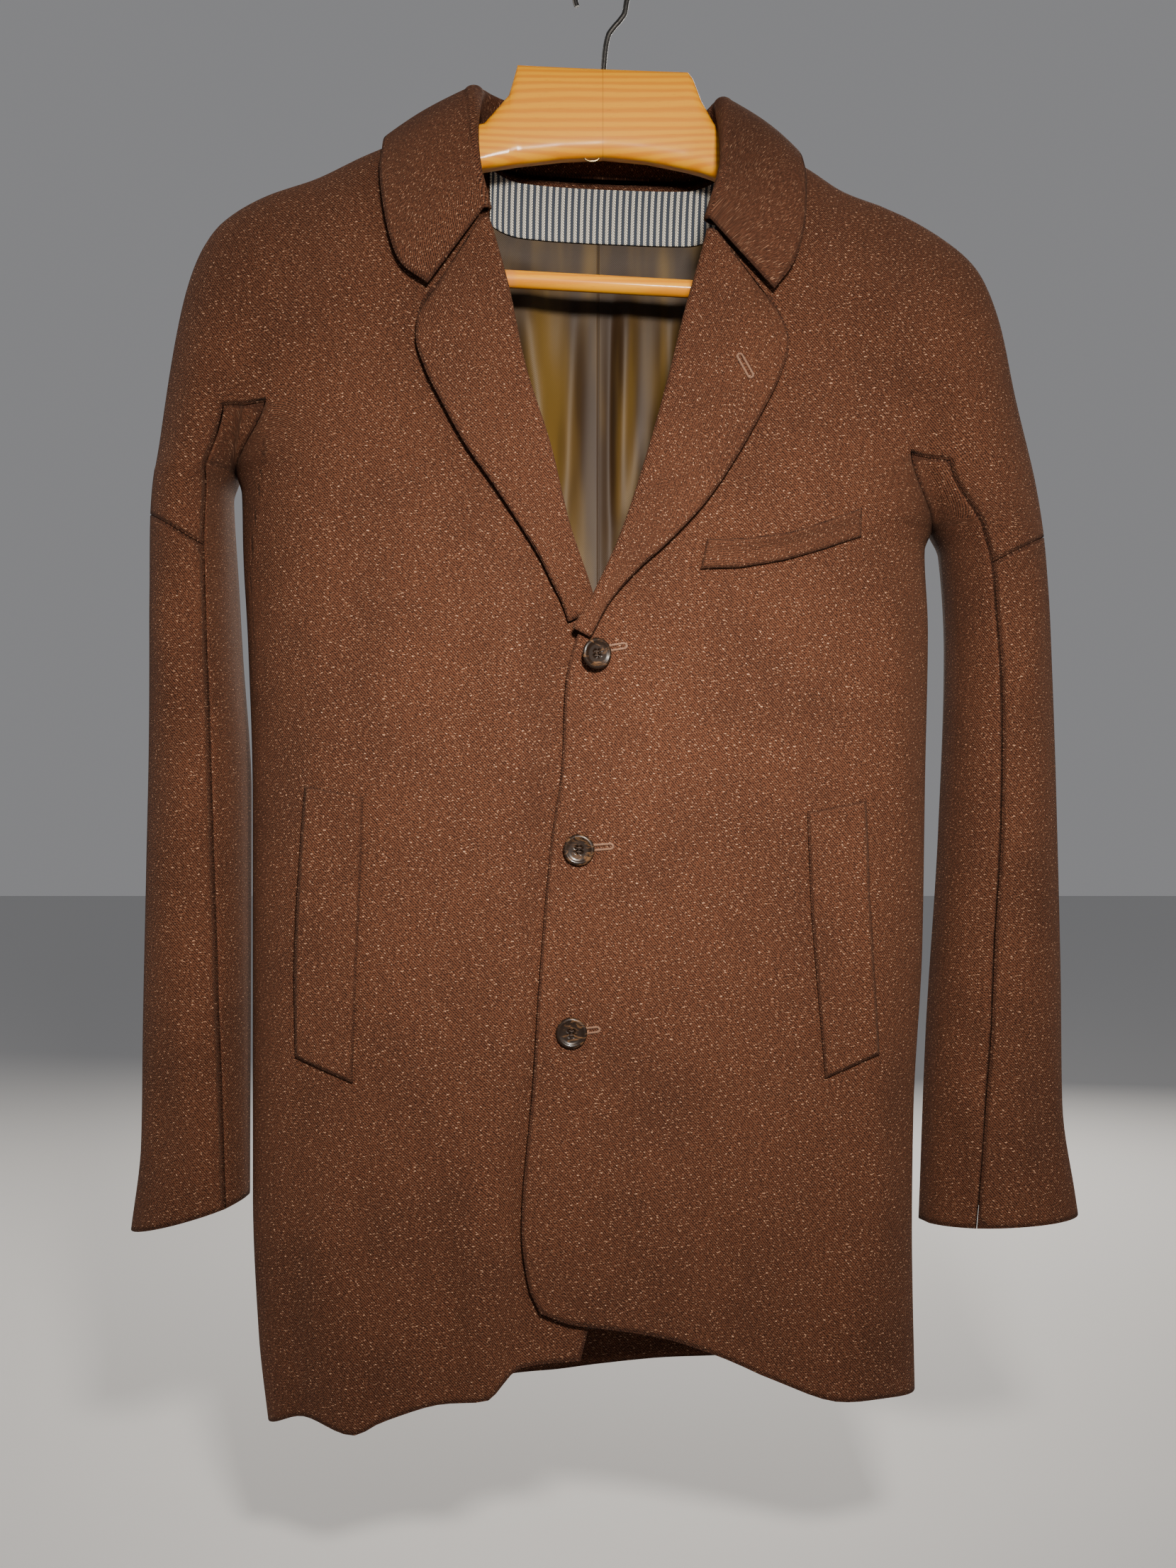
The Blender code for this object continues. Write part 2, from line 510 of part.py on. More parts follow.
def skin_patches():
    """Every rectangular patch of the skin by piece name: grids of points, facing out."""
    pieces = {}

    def add(name, points, out):
        pieces.setdefault(name, []).append(points if out else points[:, ::-1])

    top_row, drop_row = UPPER_ROWS.index(GUSSET_TOP), len(DROP_ROWS) - 1
    for side, sign in SIDES.items():
        for face in ("front", "back"):
            out = (sign > 0) == (face == "front")
            panel = "front_" + side if face == "front" else "back"
            x, z, a, b = upper_columns(side, face)
            upper = skin_points(side, x, z, face, "upper")
            add(panel, upper[:top_row + 1], out)
            add(panel, upper[top_row:, :a + 1], out)
            add(panel, upper[top_row:, b:], out)
            add("sleeve_under_" + side, upper[top_row:, a:b + 1], out)
            x, z = body_columns(side, face)
            body = skin_points(side, x, z, face, "body")
            body[0] = upper[-1, :a + 1]
            add(panel, body, out)
            under_x, under_z, top_x, top_z = sleeve_columns(side)
            under = skin_points(side, under_x, under_z, face, "sleeve")
            top = skin_points(side, top_x, top_z, face, "sleeve")
            under[0] = upper[-1, a + 1:b + 1]
            top[0] = upper[-1, b:]
            add("sleeve_under_" + side, under, out)
            add(panel, top[:drop_row + 1], out)
            add("sleeve_top_" + side, top[drop_row:], out)
    return pieces


def quads_of(patches):
    """All points of some patches and the corner numbers of their faces."""
    points, faces, start = [], [], 0
    for grid in patches:
        rows, columns = grid.shape[:2]
        number = start + np.arange(rows * columns).reshape(rows, columns)
        corners = (number[:-1, :-1], number[1:, :-1], number[1:, 1:], number[:-1, 1:])
        faces.append(np.stack(corners, axis=-1).reshape(-1, 4))
        points.append(grid.reshape(-1, 3))
        start += rows * columns
    return np.concatenate(points), np.concatenate(faces)


def welded(points, faces):
    """Points that coincide become one."""
    keys = np.round(points / (0.01 * MM)).astype(np.int64)
    first, number = np.unique(keys, axis=0, return_index=True, return_inverse=True)[1:]
    return points[first], number.reshape(-1)[faces], number.reshape(-1)


def normals_of(points, faces):
    """Outward direction at each point: the sum of the faces around it."""
    corners = points[faces]
    facing = np.cross(corners[:, 2] - corners[:, 0], corners[:, 3] - corners[:, 1])
    normal = np.zeros_like(points)
    for corner in range(4):
        np.add.at(normal, faces[:, corner], facing)
    return normal / np.maximum(np.linalg.norm(normal, axis=1, keepdims=True), 1e-12)


def rim_edges(faces):
    """Edges that only one face has, in that face's direction."""
    edges = np.concatenate([faces[:, [k, (k + 1) % 4]] for k in range(4)])
    known = {(a, b) for a, b in edges.tolist()}
    return np.array([(a, b) for a, b in edges.tolist() if (b, a) not in known and a != b])


def pulled_back(points, normals, edges, distance):
    """Points of the rim moved inwards along the surface, square to the rim."""
    run = points[edges[:, 1]] - points[edges[:, 0]]
    run /= np.maximum(np.linalg.norm(run, axis=1, keepdims=True), 1e-12)
    inwards = np.zeros_like(points)
    for end in range(2):
        step = np.cross(normals[edges[:, end]], run)
        np.add.at(inwards, edges[:, end], step / np.maximum(np.linalg.norm(step, axis=1, keepdims=True), 1e-9))
    length = np.maximum((inwards ** 2).sum(axis=1, keepdims=True) / 2, 0.5)
    return points + inwards / length * distance


def material(name):
    """Principled material with the part's plain colour."""
    made = bpy.data.materials.get(name)
    if made:
        return made
    colour, roughness, metallic = COLOURS[name]
    made = bpy.data.materials.new(name)
    made.use_nodes = True
    shader = made.node_tree.nodes["Principled BSDF"]
    shader.inputs["Base Color"].default_value = (*colour, 1)
    shader.inputs["Roughness"].default_value = roughness
    shader.inputs["Metallic"].default_value = metallic
    return made


def add_object(name, points, faces, slot):
    """Mesh object from points and faces, all triangles."""
    mesh = bpy.data.meshes.new(name)
    mesh.from_pydata([tuple(p) for p in points.tolist()], [], faces)
    mesh.validate()
    work = bmesh.new()
    work.from_mesh(mesh)
    bmesh.ops.triangulate(work, faces=work.faces[:], quad_method="FIXED")
    work.to_mesh(mesh)
    work.free()
    mesh.materials.append(material(slot))
    made = bpy.data.objects.new(name, mesh)
    bpy.context.collection.objects.link(made)
    return made


def armpit_distance(points):
    """Distance of each point from the nearer armpit."""
    far = []
    for side, (x, z) in ARMPIT.items():
        pit = skin_points(side, np.array(x), np.array(z), "front", "upper")
        far.append(np.linalg.norm(points - pit, axis=1))
    return np.minimum(*far)[:, None]


def turned_over(faces, count):
    """Faces of the second layer: the other way round from the same first corner, so both split alike."""
    return [[count + c for c in [f[0]] + f[:0:-1]] for f in faces]


def add_wall(name, points, faces, normals, wall, slot):
    """Closed wall: the outer points, the same points moved in, and a rim between."""
    edges = rim_edges(faces)
    own = normals_of(points, faces)
    far = armpit_distance(points)
    normals = np.where(far < PIT_OWN, own, normals)
    outer = pulled_back(points, own, edges, SEAM)
    inner = outer - normals * wall * (PIT_THIN + (1 - PIT_THIN) * ease(far / PIT_REACH))
    count = len(outer)
    used = [[c for k, c in enumerate(f) if c != f[k - 1]] for f in faces.tolist()]
    sides = used + turned_over(used, count)
    rank = np.argsort(np.argsort(points @ np.array([0.3, 0.1, 1.0])))
    rim = [[b, a, count + a, count + b] if rank[a] < rank[b] else [a, count + a, count + b, b]
           for a, b in edges.tolist()]
    return add_object(name, np.concatenate([outer, inner]), sides + rim, slot)


def add_cloth(name, patches, wall, slot):
    """Wall from patches of its own surface."""
    points, faces = welded(*quads_of(patches))[:2]
    return add_wall(name, points, faces, normals_of(points, faces), wall, slot)


def build_skin():
    """Fronts, back and sleeves: the pieces share the skin's normals, so their walls meet at the seams."""
    pieces = skin_patches()
    patches = [grid for listed in pieces.values() for grid in listed]
    points, faces = quads_of(patches)
    shared, joined, number = welded(points, faces)
    all_normals = normals_of(shared, joined)[number]
    start = 0
    for name, listed in pieces.items():
        size = sum(grid.shape[0] * grid.shape[1] for grid in listed)
        own_points, own_faces = quads_of(listed)
        own_normals = all_normals[start:start + size]
        keys = np.round(own_points / (0.01 * MM)).astype(np.int64)
        first, own_number = np.unique(keys, axis=0, return_index=True, return_inverse=True)[1:]
        add_wall(name, own_points[first], own_number.reshape(-1)[own_faces], own_normals[first], WALL, "wool")
        start += size


def add_slab(name, grid, low, high, slot):
    """Closed layer on a panel: its points moved out by two distances, and a rim between."""
    points, faces = quads_of([grid])
    normals = normals_of(points, faces)
    edges = rim_edges(faces)
    count = len(points)
    body = faces.tolist() + turned_over(faces.tolist(), count)
    rim = [[b, a, count + a, count + b] for a, b in edges.tolist()]
    top, bottom = (high, low) if high > low else (low, high)
    layers = np.concatenate([points + normals * top, points + normals * bottom])
    return add_object(name, layers, body + rim, slot)


def lapel_grid(side, stations, leaf_steps):
    """Visible face of a lapel: round the roll from the front's inside, then out to its edge."""
    listed, sign = LAPEL[side], SIDES[side]
    place = np.arange(len(listed["roll_z"]))
    roll_z, outer_x, outer_z, radius = (curve(stations, place, listed[n])
                                        for n in ("roll_z", "outer_x", "outer_z", "radius"))
    roll_x = curve(roll_z, FRONT_EDGE[side]["z"], FRONT_EDGE[side]["x"])
    sheet = left_sheet if side == "left" else front_sheet
    run = np.stack([np.gradient(roll_x), np.gradient(roll_z)], axis=-1)
    run /= np.linalg.norm(run, axis=1, keepdims=True)
    inward = np.stack([run[:, 1], -run[:, 0]], axis=-1) * sign
    base_y = sheet(roll_x, roll_z)[:, 1]
    columns = []
    for angle in np.linspace(0, math.pi, ROLL_STEPS + 1):
        reach = ROLL_GAP + radius * math.sin(angle)
        flat = np.stack([roll_x, roll_z], axis=-1) + inward * reach[:, None]
        y = base_y + WALL - radius * (1 - math.cos(angle))
        columns.append(np.stack([flat[:, 0], y, flat[:, 1]], axis=-1))
    width = np.hypot(sign * outer_x - roll_x, outer_z - roll_z)
    for part in spaced(leaf_steps)[1:]:
        x = roll_x + (sign * outer_x - roll_x) * part
        z = roll_z + (outer_z - roll_z) * part
        stand = 2 * radius - WALL + LAPEL_STAND * part * np.clip(width / (60 * MM), 0, 1)
        columns.append(np.stack([x, sheet(x, z)[:, 1] - stand, z], axis=-1))
    grid = np.stack(columns, axis=1)
    return grid if sign > 0 else grid[:, ::-1]


def panel_point(x, z, face):
    """Point of the front or back sheet, or of the ridge between them, at signed x."""
    side = "left" if x < 0 else "right"
    ridge = curve(abs(x), OUTLINE[side]["x"], OUTLINE[side]["z"])
    if z >= ridge - 1 * MM:
        return np.array([x, float(middle(side, abs(x), np.array(z), "upper")), z])
    return skin_points(side, np.array(abs(x)), np.array(z), face, "upper", False)


def neck_samples():
    """Points of the skin round the neck and shoulders with their outward directions."""
    grids = []
    for side, sign in SIDES.items():
        x = np.linspace(*SAMPLE_REACH, SAMPLES)[None, :]
        ridge = curve(x, OUTLINE[side]["x"], OUTLINE[side]["z"])
        z = ridge - SAMPLE_FALL * spaced(SAMPLES - 1)[:, None] ** 2
        for face in ("front", "back"):
            grid = skin_points(side, x + 0 * z, z, face, "upper", False)
            grids.append(grid if (sign > 0) == (face == "front") else grid[:, ::-1])
    points, faces = quads_of(grids)
    return points, normals_of(points, faces)


def lifted(grid, off):
    """Grid whose points keep at least a distance outside the skin round the neck."""
    skin, normals = neck_samples()
    flat = grid.reshape(-1, 3)
    near = np.array([((skin - p) ** 2).sum(axis=1).argmin() for p in flat])
    away = ((flat - skin[near]) * normals[near]).sum(axis=1, keepdims=True)
    return (flat + normals[near] * np.maximum(off - away, 0)).reshape(grid.shape)


def collar_grid(stations, leaf_steps):
    """Visible face of the collar at stations round the neck: up the stand, over the fold, down the leaf."""
    knots = np.arange(len(COLLAR["turn"]))
    leaves = []
    for x, z, turn in zip(COLLAR["leaf_x"], COLLAR["leaf_z"], COLLAR["turn"]):
        away = LEAF_OFF * math.sin(math.radians(turn))
        leaves.append(panel_point(x, z, "front" if away < -0.1 * LEAF_OFF else "back") + [0, away, 0])
    leaves = np.stack([curve(stations, knots, column) for column in np.array(leaves).T], axis=-1)
    sections = []
    for k, station in enumerate(stations):
        row = {name: float(curve(station, knots, column)) for name, column in COLLAR.items()}
        angle = math.radians(row["turn"])
        way = np.array([math.cos(angle), math.sin(angle), 0])
        side = "left" if row["base_x"] < 0 else "right"
        if BACK_TURN[0] < row["turn"] < BACK_TURN[1]:
            neck_z = float(curve(row["base_x"], BACK_NECK["x"], BACK_NECK["z"]))
            base = panel_point(row["base_x"], neck_z, "back")
        else:
            edge = FRONT_EDGE[side]
            base = panel_point(float(curve(row["base_z"], edge["z"], edge["x"])), row["base_z"], "front")
        up = np.array([row["fold_x"], row["fold_y"], row["fold_z"]]) - base
        length = max(np.linalg.norm(up), STAND_LEAST)
        up /= np.linalg.norm(up)
        out = way - up * (way @ up)
        out /= np.linalg.norm(out)
        foot = base - out * WALL + up * ROLL_GAP
        neck = base - out * WALL + up * (length - COLLAR_RADIUS)
        points = [foot, (foot + neck) / 2]
        for step in np.linspace(0, math.pi, ROLL_STEPS + 1):
            turn = out * (1 - math.cos(step)) + up * math.sin(step)
            points.append(neck + COLLAR_RADIUS * turn)
        start = points[-1]
        for part in spaced(leaf_steps)[1:]:
            points.append(start + (leaves[k] - start) * part + out * LEAF_BULGE * math.sin(math.pi * part))
        sections.append(points)
    grid = np.array(sections)
    grid[:, -leaf_steps:] = lifted(grid[:, -leaf_steps:], LEAF_CLEAR)
    return grid[:, ::-1]


def build_collar():
    """Collar and lapels, each a wall behind its visible face."""
    stations = np.linspace(0, len(COLLAR["turn"]) - 1, COLLAR_STATIONS)
    add_cloth("collar", [collar_grid(stations, LEAF_STEPS)], WALL, "wool")
    for side in SIDES:
        count = len(LAPEL[side]["roll_z"])
        add_cloth("lapel_" + side, [lapel_grid(side, np.arange(count), LEAF_STEPS)], WALL, "wool")


def back_grid(x, z):
    """Points of the back sheet at signed x, facing out."""
    points = []
    for side, sign in SIDES.items():
        high = skin_points(side, sign * x, z, "back", "upper")
        low = skin_points(side, sign * x, z, "back", "body")
        points.append(np.where((z > ARMPIT[side][1])[..., None], high, low))
    return np.where((x > 0)[..., None], points[1], points[0])[:, ::-1]


def build_inside():
    """Striped neck band and back lining, layers inside the back."""
    shares = np.array(BACK_SHARES[1:-1]) * NECK_HALF
    x = np.concatenate([-shares[::-1], [0], shares])[None, :]
    top = curve(x, BACK_NECK["x"], BACK_NECK["z"]) - BAND["drop"]
    z = top - BAND["height"] * spaced(3)[:, None]
    low = -WALL - BAND["gap"]
    add_slab("neck_band", back_grid(x + 0 * z, z), low, low - BAND["wall"], "stripe")
    x = np.linspace(LINING["left"], LINING["right"], 22)[None, :]
    ridge = np.where(x < 0, curve(-x, OUTLINE["left"]["x"], OUTLINE["left"]["z"]),
                     curve(x, OUTLINE["right"]["x"], OUTLINE["right"]["z"]))
    band_foot = curve(x, BACK_NECK["x"], BACK_NECK["z"]) - BAND["drop"] - BAND["height"]
    top = np.minimum(band_foot + LINING["under_band"], ridge - LINING["below_shoulder"])
    z = top + (LINING["foot"] - top) * (spaced(18) ** 1.2)[:, None]
    loose = LINING["gap"] + LINING["loose"] * ease((top - z - 2 * LINING["under_band"]) / LINING["loose_fall"])
    grid = back_grid(x + 0 * z, z)
    points, faces = quads_of([grid])
    depth = (WALL + loose + folds(LINING_FOLDS, x + 0 * z, z))[:, ::-1].reshape(-1, 1)
    inner = (points - normals_of(points, faces) * depth).reshape(grid.shape)
    add_cloth("lining_back", [inner], LINING_WALL, "lining")


def build_welts():
    """Pocket welts, flat layers on the fronts."""
    for name, listed in WELTS.items():
        rows = np.arange(len(listed["x0"]))
        across = spaced(WELT_STEPS)[None, :]
        x = listed["x0"][:, None] + (listed["x1"] - listed["x0"])[:, None] * across
        z = listed["z0"][:, None] + (listed["z1"] - listed["z0"])[:, None] * across
        grid = front_sheet(x, z)
        turn = np.cross(grid[1, 0] - grid[0, 0], grid[0, 1] - grid[0, 0])[1]
        add_slab(name, grid if turn < 0 else grid[:, ::-1], WELT_OFF, WELT_OFF + WELT_WALL, "wool")


def lathe(name, profile, sides, slot):
    """Turned body about +Z from radius and height rows that start and end on the axis."""
    rings = list(zip(profile["r"], profile["h"]))
    points = [(0, 0, rings[0][1])]
    for radius, height in rings[1:-1]:
        points += [(radius * math.cos(a), radius * math.sin(a), height)
                   for a in np.linspace(0, 2 * math.pi, sides, endpoint=False)]
    points.append((0, 0, rings[-1][1]))
    last = len(points) - 1
    faces = [[0, 1 + (k + 1) % sides, 1 + k] for k in range(sides)]
    for ring in range(len(rings) - 3):
        low, high = 1 + ring * sides, 1 + (ring + 1) * sides
        faces += [[low + k, low + (k + 1) % sides, high + (k + 1) % sides, high + k] for k in range(sides)]
    top = last - sides
    faces += [[last, top + k, top + (k + 1) % sides] for k in range(sides)]
    return add_object(name, np.array(points), faces, slot)


def place(made, centre, normal, turn):
    """Stand an object's +Z along a direction, turned about the vertical."""
    target = Vector(normal)
    target.rotate(Matrix.Rotation(math.radians(turn), 3, "Z"))
    made.matrix_world = Matrix.Translation(centre) @ target.to_track_quat("Z", "Y").to_matrix().to_4x4()


def build_buttons():
    """Three four-hole buttons with a raised rim, on the overlapping front."""
    for name, (x, z, turn) in BUTTONS.items():
        x, z, span = x * MM, z * MM, BUTTON_SPAN
        around = front_sheet(np.array([[x, x + span], [x, x + span]]), np.array([[z, z], [z - span, z - span]]))
        normal = np.cross(around[1, 0] - around[0, 0], around[0, 1] - around[0, 0])
        normal /= np.linalg.norm(normal)
        lift = CLEAR + BUTTON_RADIUS * math.sin(math.radians(abs(turn)))
        centre = around[0, 0] + normal * lift
        button = lathe(name, BUTTON_PROFILE, BUTTON_SIDES, "horn")
        place(button, centre, normal, turn)
        low, high = HOLE_DEPTH
        reach = {"r": (0, HOLE_RADIUS, HOLE_RADIUS, 0), "h": (low, low, high, high)}
        for k in range(4):
            cutter = lathe(name + "_cutter_" + str(k), reach, HOLE_SIDES, "horn")
            angle = math.pi * (0.25 + 0.5 * k)
            shift = Matrix.Translation((HOLE_OFF * math.cos(angle), HOLE_OFF * math.sin(angle), 0))
            cutter.matrix_world = button.matrix_world @ shift
            cutter.hide_render = True
            cutter.display_type = "WIRE"
            cut = button.modifiers.new("hole_" + str(k), "BOOLEAN")
            cut.object = cutter
            cut.operation = "DIFFERENCE"


def add_loft(name, sections, slot):
    """Closed body through rings of points, with a fan on each end."""
    count, sides = sections.shape[:2]
    points = sections.reshape(-1, 3)
    centres = np.array([sections[0].mean(axis=0), sections[-1].mean(axis=0)])
    faces = []
    for ring in range(count - 1):
        low, high = ring * sides, (ring + 1) * sides
        faces += [[low + k, low + (k + 1) % sides, high + (k + 1) % sides, high + k] for k in range(sides)]
    first, last, end = count * sides, count * sides + 1, (count - 1) * sides
    faces += [[first, (k + 1) % sides, k] for k in range(sides)]
    faces += [[last, end + k, end + (k + 1) % sides] for k in range(sides)]
    return add_object(name, np.concatenate([points, centres]), faces, slot)


def rod_rings(path, radius, sides):
    """Rings of a round rod along a path in the XZ plane."""
    run = np.gradient(path, axis=0)
    run /= np.linalg.norm(run, axis=1, keepdims=True)
    across = np.stack([-run[:, 2], 0 * run[:, 0], run[:, 0]], axis=-1)
    angles = np.linspace(0, 2 * math.pi, sides, endpoint=False)
    depth = np.array([0, 1, 0])
    return path[:, None] + radius * (np.cos(angles)[None, :, None] * across[:, None]
                                     - np.sin(angles)[None, :, None] * depth)


def squared(wave):
    """Sine or cosine pushed outwards, which squares a round section."""
    return np.sign(wave) * np.abs(wave) ** SQUARE


def hanger_sections(stations):
    """Rounded sections of the hanger's body at signed x."""
    rings = []
    angles = np.linspace(0, 2 * math.pi, SECTION_SIDES, endpoint=False) + math.pi / SECTION_SIDES
    for x in stations:
        side = "left" if x < 0 else "right"
        out = abs(x)
        if out < ARM_START:
            top = np.interp(x, BLOCK["x"], BLOCK["top"])
            bottom = np.interp(x, BLOCK["x"], BLOCK["bottom"])
        else:
            top = curve(out, OUTLINE[side]["x"], OUTLINE[side]["z"]) - ARM_UNDER
            bottom = np.interp(out, ARM_FOOT["x"], ARM_FOOT[side])
        depth = np.interp(out, [ARM_START, ARM_END], [BLOCK_DEPTH, ARM_END_DEPTH])
        centre = float(middle(side, out, np.array(top), "upper"))
        y, z = squared(np.cos(angles)), np.sin(angles)
        if out <= ARM_START:
            z = squared(z)
        z = (top + bottom) / 2 + (top - bottom) / 2 * z
        rings.append(np.stack([x + 0 * y, centre + depth * y, z], axis=-1))
    return np.array(rings)


def build_hanger():
    """Wooden body with its arms, trouser bar and wire hook."""
    arms = np.array(ARM_STATIONS) * MM
    stations = np.concatenate([-arms[::-1], BLOCK["x"][1:-1], arms])
    add_loft("hanger_body", hanger_sections(stations), "wood")
    x = np.array([-BAR["half_length"], 0, BAR["half_length"]])
    path = np.stack([x, 0 * x, BAR["z"] - BAR["slope"] * x], axis=-1)
    add_loft("hanger_bar", rod_rings(path, BAR["radius"], BAR["sides"]), "wood")
    angles = np.radians(np.linspace(HOOK_LOOP["start"], HOOK_LOOP["end"], HOOK_LOOP["steps"]))
    loop_x = HOOK_LOOP["x"] + HOOK_LOOP["radius"] * np.cos(angles)
    loop_z = HOOK_LOOP["z"] + HOOK_LOOP["radius"] * np.sin(angles)
    x = np.concatenate([HOOK_STEM["x"], loop_x])
    z = np.concatenate([HOOK_STEM["z"], loop_z])
    add_loft("hanger_hook", rod_rings(np.stack([x, 0 * x, z], axis=-1), WIRE, WIRE_SIDES), "steel")


def main():
    for old in list(bpy.data.objects):
        bpy.data.objects.remove(old, do_unlink=True)
    build_skin()
    build_collar()
    build_inside()
    build_welts()
    build_buttons()
    build_hanger()


main()
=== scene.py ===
"""Looks of a wool jacket on a wooden hanger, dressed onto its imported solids.

Laid out as a Blender add-on and run as a script. Metres, +Z up, front towards -Y; left and right are the
viewer's. Every piece is a surface worked out on a grid of two parameters. The cloth is one skin, a front and
a back sheet, cut into its sewn pieces. Each piece gets a wall, and the distance from its seams is kept on
its points.
"""

import math

import bpy
import numpy as np
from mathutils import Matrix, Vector


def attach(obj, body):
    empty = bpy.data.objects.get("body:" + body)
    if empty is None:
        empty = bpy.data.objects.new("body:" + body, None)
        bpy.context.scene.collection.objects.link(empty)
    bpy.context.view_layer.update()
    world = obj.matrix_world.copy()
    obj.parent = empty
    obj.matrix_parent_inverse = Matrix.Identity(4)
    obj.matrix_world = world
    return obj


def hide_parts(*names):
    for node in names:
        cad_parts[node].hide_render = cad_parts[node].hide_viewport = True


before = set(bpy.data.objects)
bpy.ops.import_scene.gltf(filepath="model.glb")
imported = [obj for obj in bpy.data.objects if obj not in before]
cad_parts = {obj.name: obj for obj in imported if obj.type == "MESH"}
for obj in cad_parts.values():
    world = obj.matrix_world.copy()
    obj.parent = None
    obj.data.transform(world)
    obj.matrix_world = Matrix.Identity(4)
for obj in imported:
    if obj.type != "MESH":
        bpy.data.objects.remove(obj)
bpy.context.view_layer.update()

bl_info = {
    "name": "Wool jacket on a hanger",
    "version": (1, 0, 0),
    "blender": (4, 5, 0),
    "location": "View3D > Sidebar > Jacket",
    "description": "Dresses the jacket's solids with cloth, trim and a wooden hanger",
    "category": "Object",
}

MM = 0.001
SIDES = {"left": -1, "right": 1}

WALL = 2.4 * MM            # coat cloth
LINING_WALL = 1.0 * MM
SEAM = 0.15 * MM           # each piece stops this far before a seam
CLEAR = 0.3 * MM           # a button stands this far off the front

# Form of the skin
MID_FADE = 80 * MM         # height over which a sleeve drifts back below the armpit
CREASE_RISE = 120 * MM     # height of the crease above the armpit
SHOULDER_ROUND = 120 * MM  # fall over which the shoulder reaches the full depth
ARM_ROUND = 50 * MM        # the same at the arm's edge, and at the body's side seam
SIDE_ROUND = 110 * MM
BLEND_HALF = 60 * MM       # the two halves blend over this much each side of the centre
PIT_SLOPE = 190 * MM       # the row through the armpits slopes between them over this much each side
PIT_REACH = 60 * MM        # the wall thins towards the point of the armpit over this distance
PIT_THIN = 0.08            # share of the wall that is left there
PIT_OWN = 5 * MM           # nearer than this each piece keeps its own direction
GUSSET_TOP = 0.8           # row fraction of the gusset's top, from shoulder to armpit
INSIDE_FADE = 12 * MM      # folds reach half their depth where the skin is this deep
BACKSET_TOP = -200 * MM    # below this the arm drifts back, in full after BACKSET_FALL
BACKSET_FALL = 150 * MM
BACKSET_START = 30 * MM    # the drift starts this far inside the armpit and is full BACKSET_SPAN further out
BACKSET_SPAN = 60 * MM
FORWARD_REACH = 0.25       # the shoulder bends forward with the square of the distance over this
CORNER_X = 262 * MM        # corner between shoulder and arm
HEM_SIDE = 0.3             # beyond every hem table's end
SLEEVE_SPAN = 70 * MM      # a sleeve's rows slope over this much
UNDER_SHARE = 0.2          # share of a sleeve's half that is the inner piece


def table(names, rows):
    """Columns of a table given in millimetres, by name, in metres."""
    return dict(zip(names.split(), np.array(rows, float).T * MM))


# Edge of the cloth seen from the front, from the neck's middle along the shoulder to the cuff
OUTLINE = {
    "left": table("x z", [
        (0, -88), (60, -92), (92, -102), (130, -117), (165, -132), (198, -149), (234, -163), (262, -182),
        (278, -207), (294, -257), (311, -340), (317, -390), (320, -480), (323.5, -600), (327, -740),
        (328.5, -822), (336, -885)]),
    "right": table("x z", [
        (0, -88), (60, -98), (92, -114), (140, -140), (165, -157), (198, -171), (230, -190), (255, -213),
        (271, -247), (284, -295), (300, -355), (306, -393), (312, -460), (318, -583), (322, -700),
        (324, -792), (334, -860), (337, -880)])}

# Side seam of the body below the armpit, and the inner edge of the sleeve beside it
BODY_SIDE = {
    "left": table("z x", [(-352, 257), (-366, 253), (-400, 252), (-473, 248), (-576, 245), (-853, 245),
                          (-950, 241), (-1014, 234)]),
    "right": table("z x", [(-392, 229), (-406, 224), (-458, 226), (-563, 224), (-682, 222), (-795, 216),
                           (-876, 215), (-990, 217)])}
SLEEVE_INNER = {
    "left": table("z x", [(-352, 257), (-366, 262), (-400, 261), (-473, 258), (-577, 252), (-880, 252)]),
    "right": table("z x", [(-392, 229), (-406, 236), (-475, 241), (-611, 236), (-744, 228), (-881, 223)])}
SLEEVE_SEAM = {
    "left": table("z x", [(-352, 270), (-411, 273), (-600, 270), (-883, 264)]),
    "right": table("z x", [(-392, 254), (-424, 262), (-545, 270), (-728, 265), (-881, 257)])}

ARMPIT = {"left": (257 * MM, -352 * MM), "right": (229 * MM, -392 * MM)}

# Crease that runs up from the armpit between body and arm
CREASE = {
    "left": table("z x", [(-157, 218), (-232, 232), (-312, 243), (-352, 257)]),
    "right": table("z x", [(-174, 205), (-272, 213), (-348, 219), (-392, 229)])}
CREASE_SOFT = 14 * MM

# Where rows of the upper part meet the gusset's two sides: at the shoulder, at its top, at the armpit
GUSSET = {
    "left": table("body sleeve", [(205, 232), (228, 256), (257, 270)]),
    "right": table("body sleeve", [(190, 222), (206, 232), (229, 254)])}

# Seam where the sleeve is sewn to the dropped shoulder, from the gusset to the arm's outer edge
DROP_SEAM = {"left": (-411 * MM, -380 * MM), "right": (-424 * MM, -396 * MM)}
CUFF = {"left": (-860 * MM, -884 * MM), "right": (-876 * MM, -872 * MM)}

# Inner edge of each front: the roll line of the lapel, then the free front edge
FRONT_EDGE = {
    "left": table("z x", [
        (-102, -92), (-123, -92), (-150, -89.5), (-179, -86), (-203, -79), (-240, -69), (-288, -59),
        (-346, -41), (-396, -29), (-434, -16), (-452, -10), (-480, 2), (-530, 14), (-700, 3), (-930, -10),
        (-958, -16)]),
    "right": table("z x", [
        (-114, 92), (-140, 87), (-169, 81), (-211, 71), (-254, 59), (-302, 47), (-352, 33), (-402, 16.5),
        (-445, -3), (-474, -19.8), (-503, -26), (-557, -28.7), (-607, -36), (-683, -42.4), (-766, -47.5),
        (-866, -55.5), (-905, -51), (-924, -43)])}

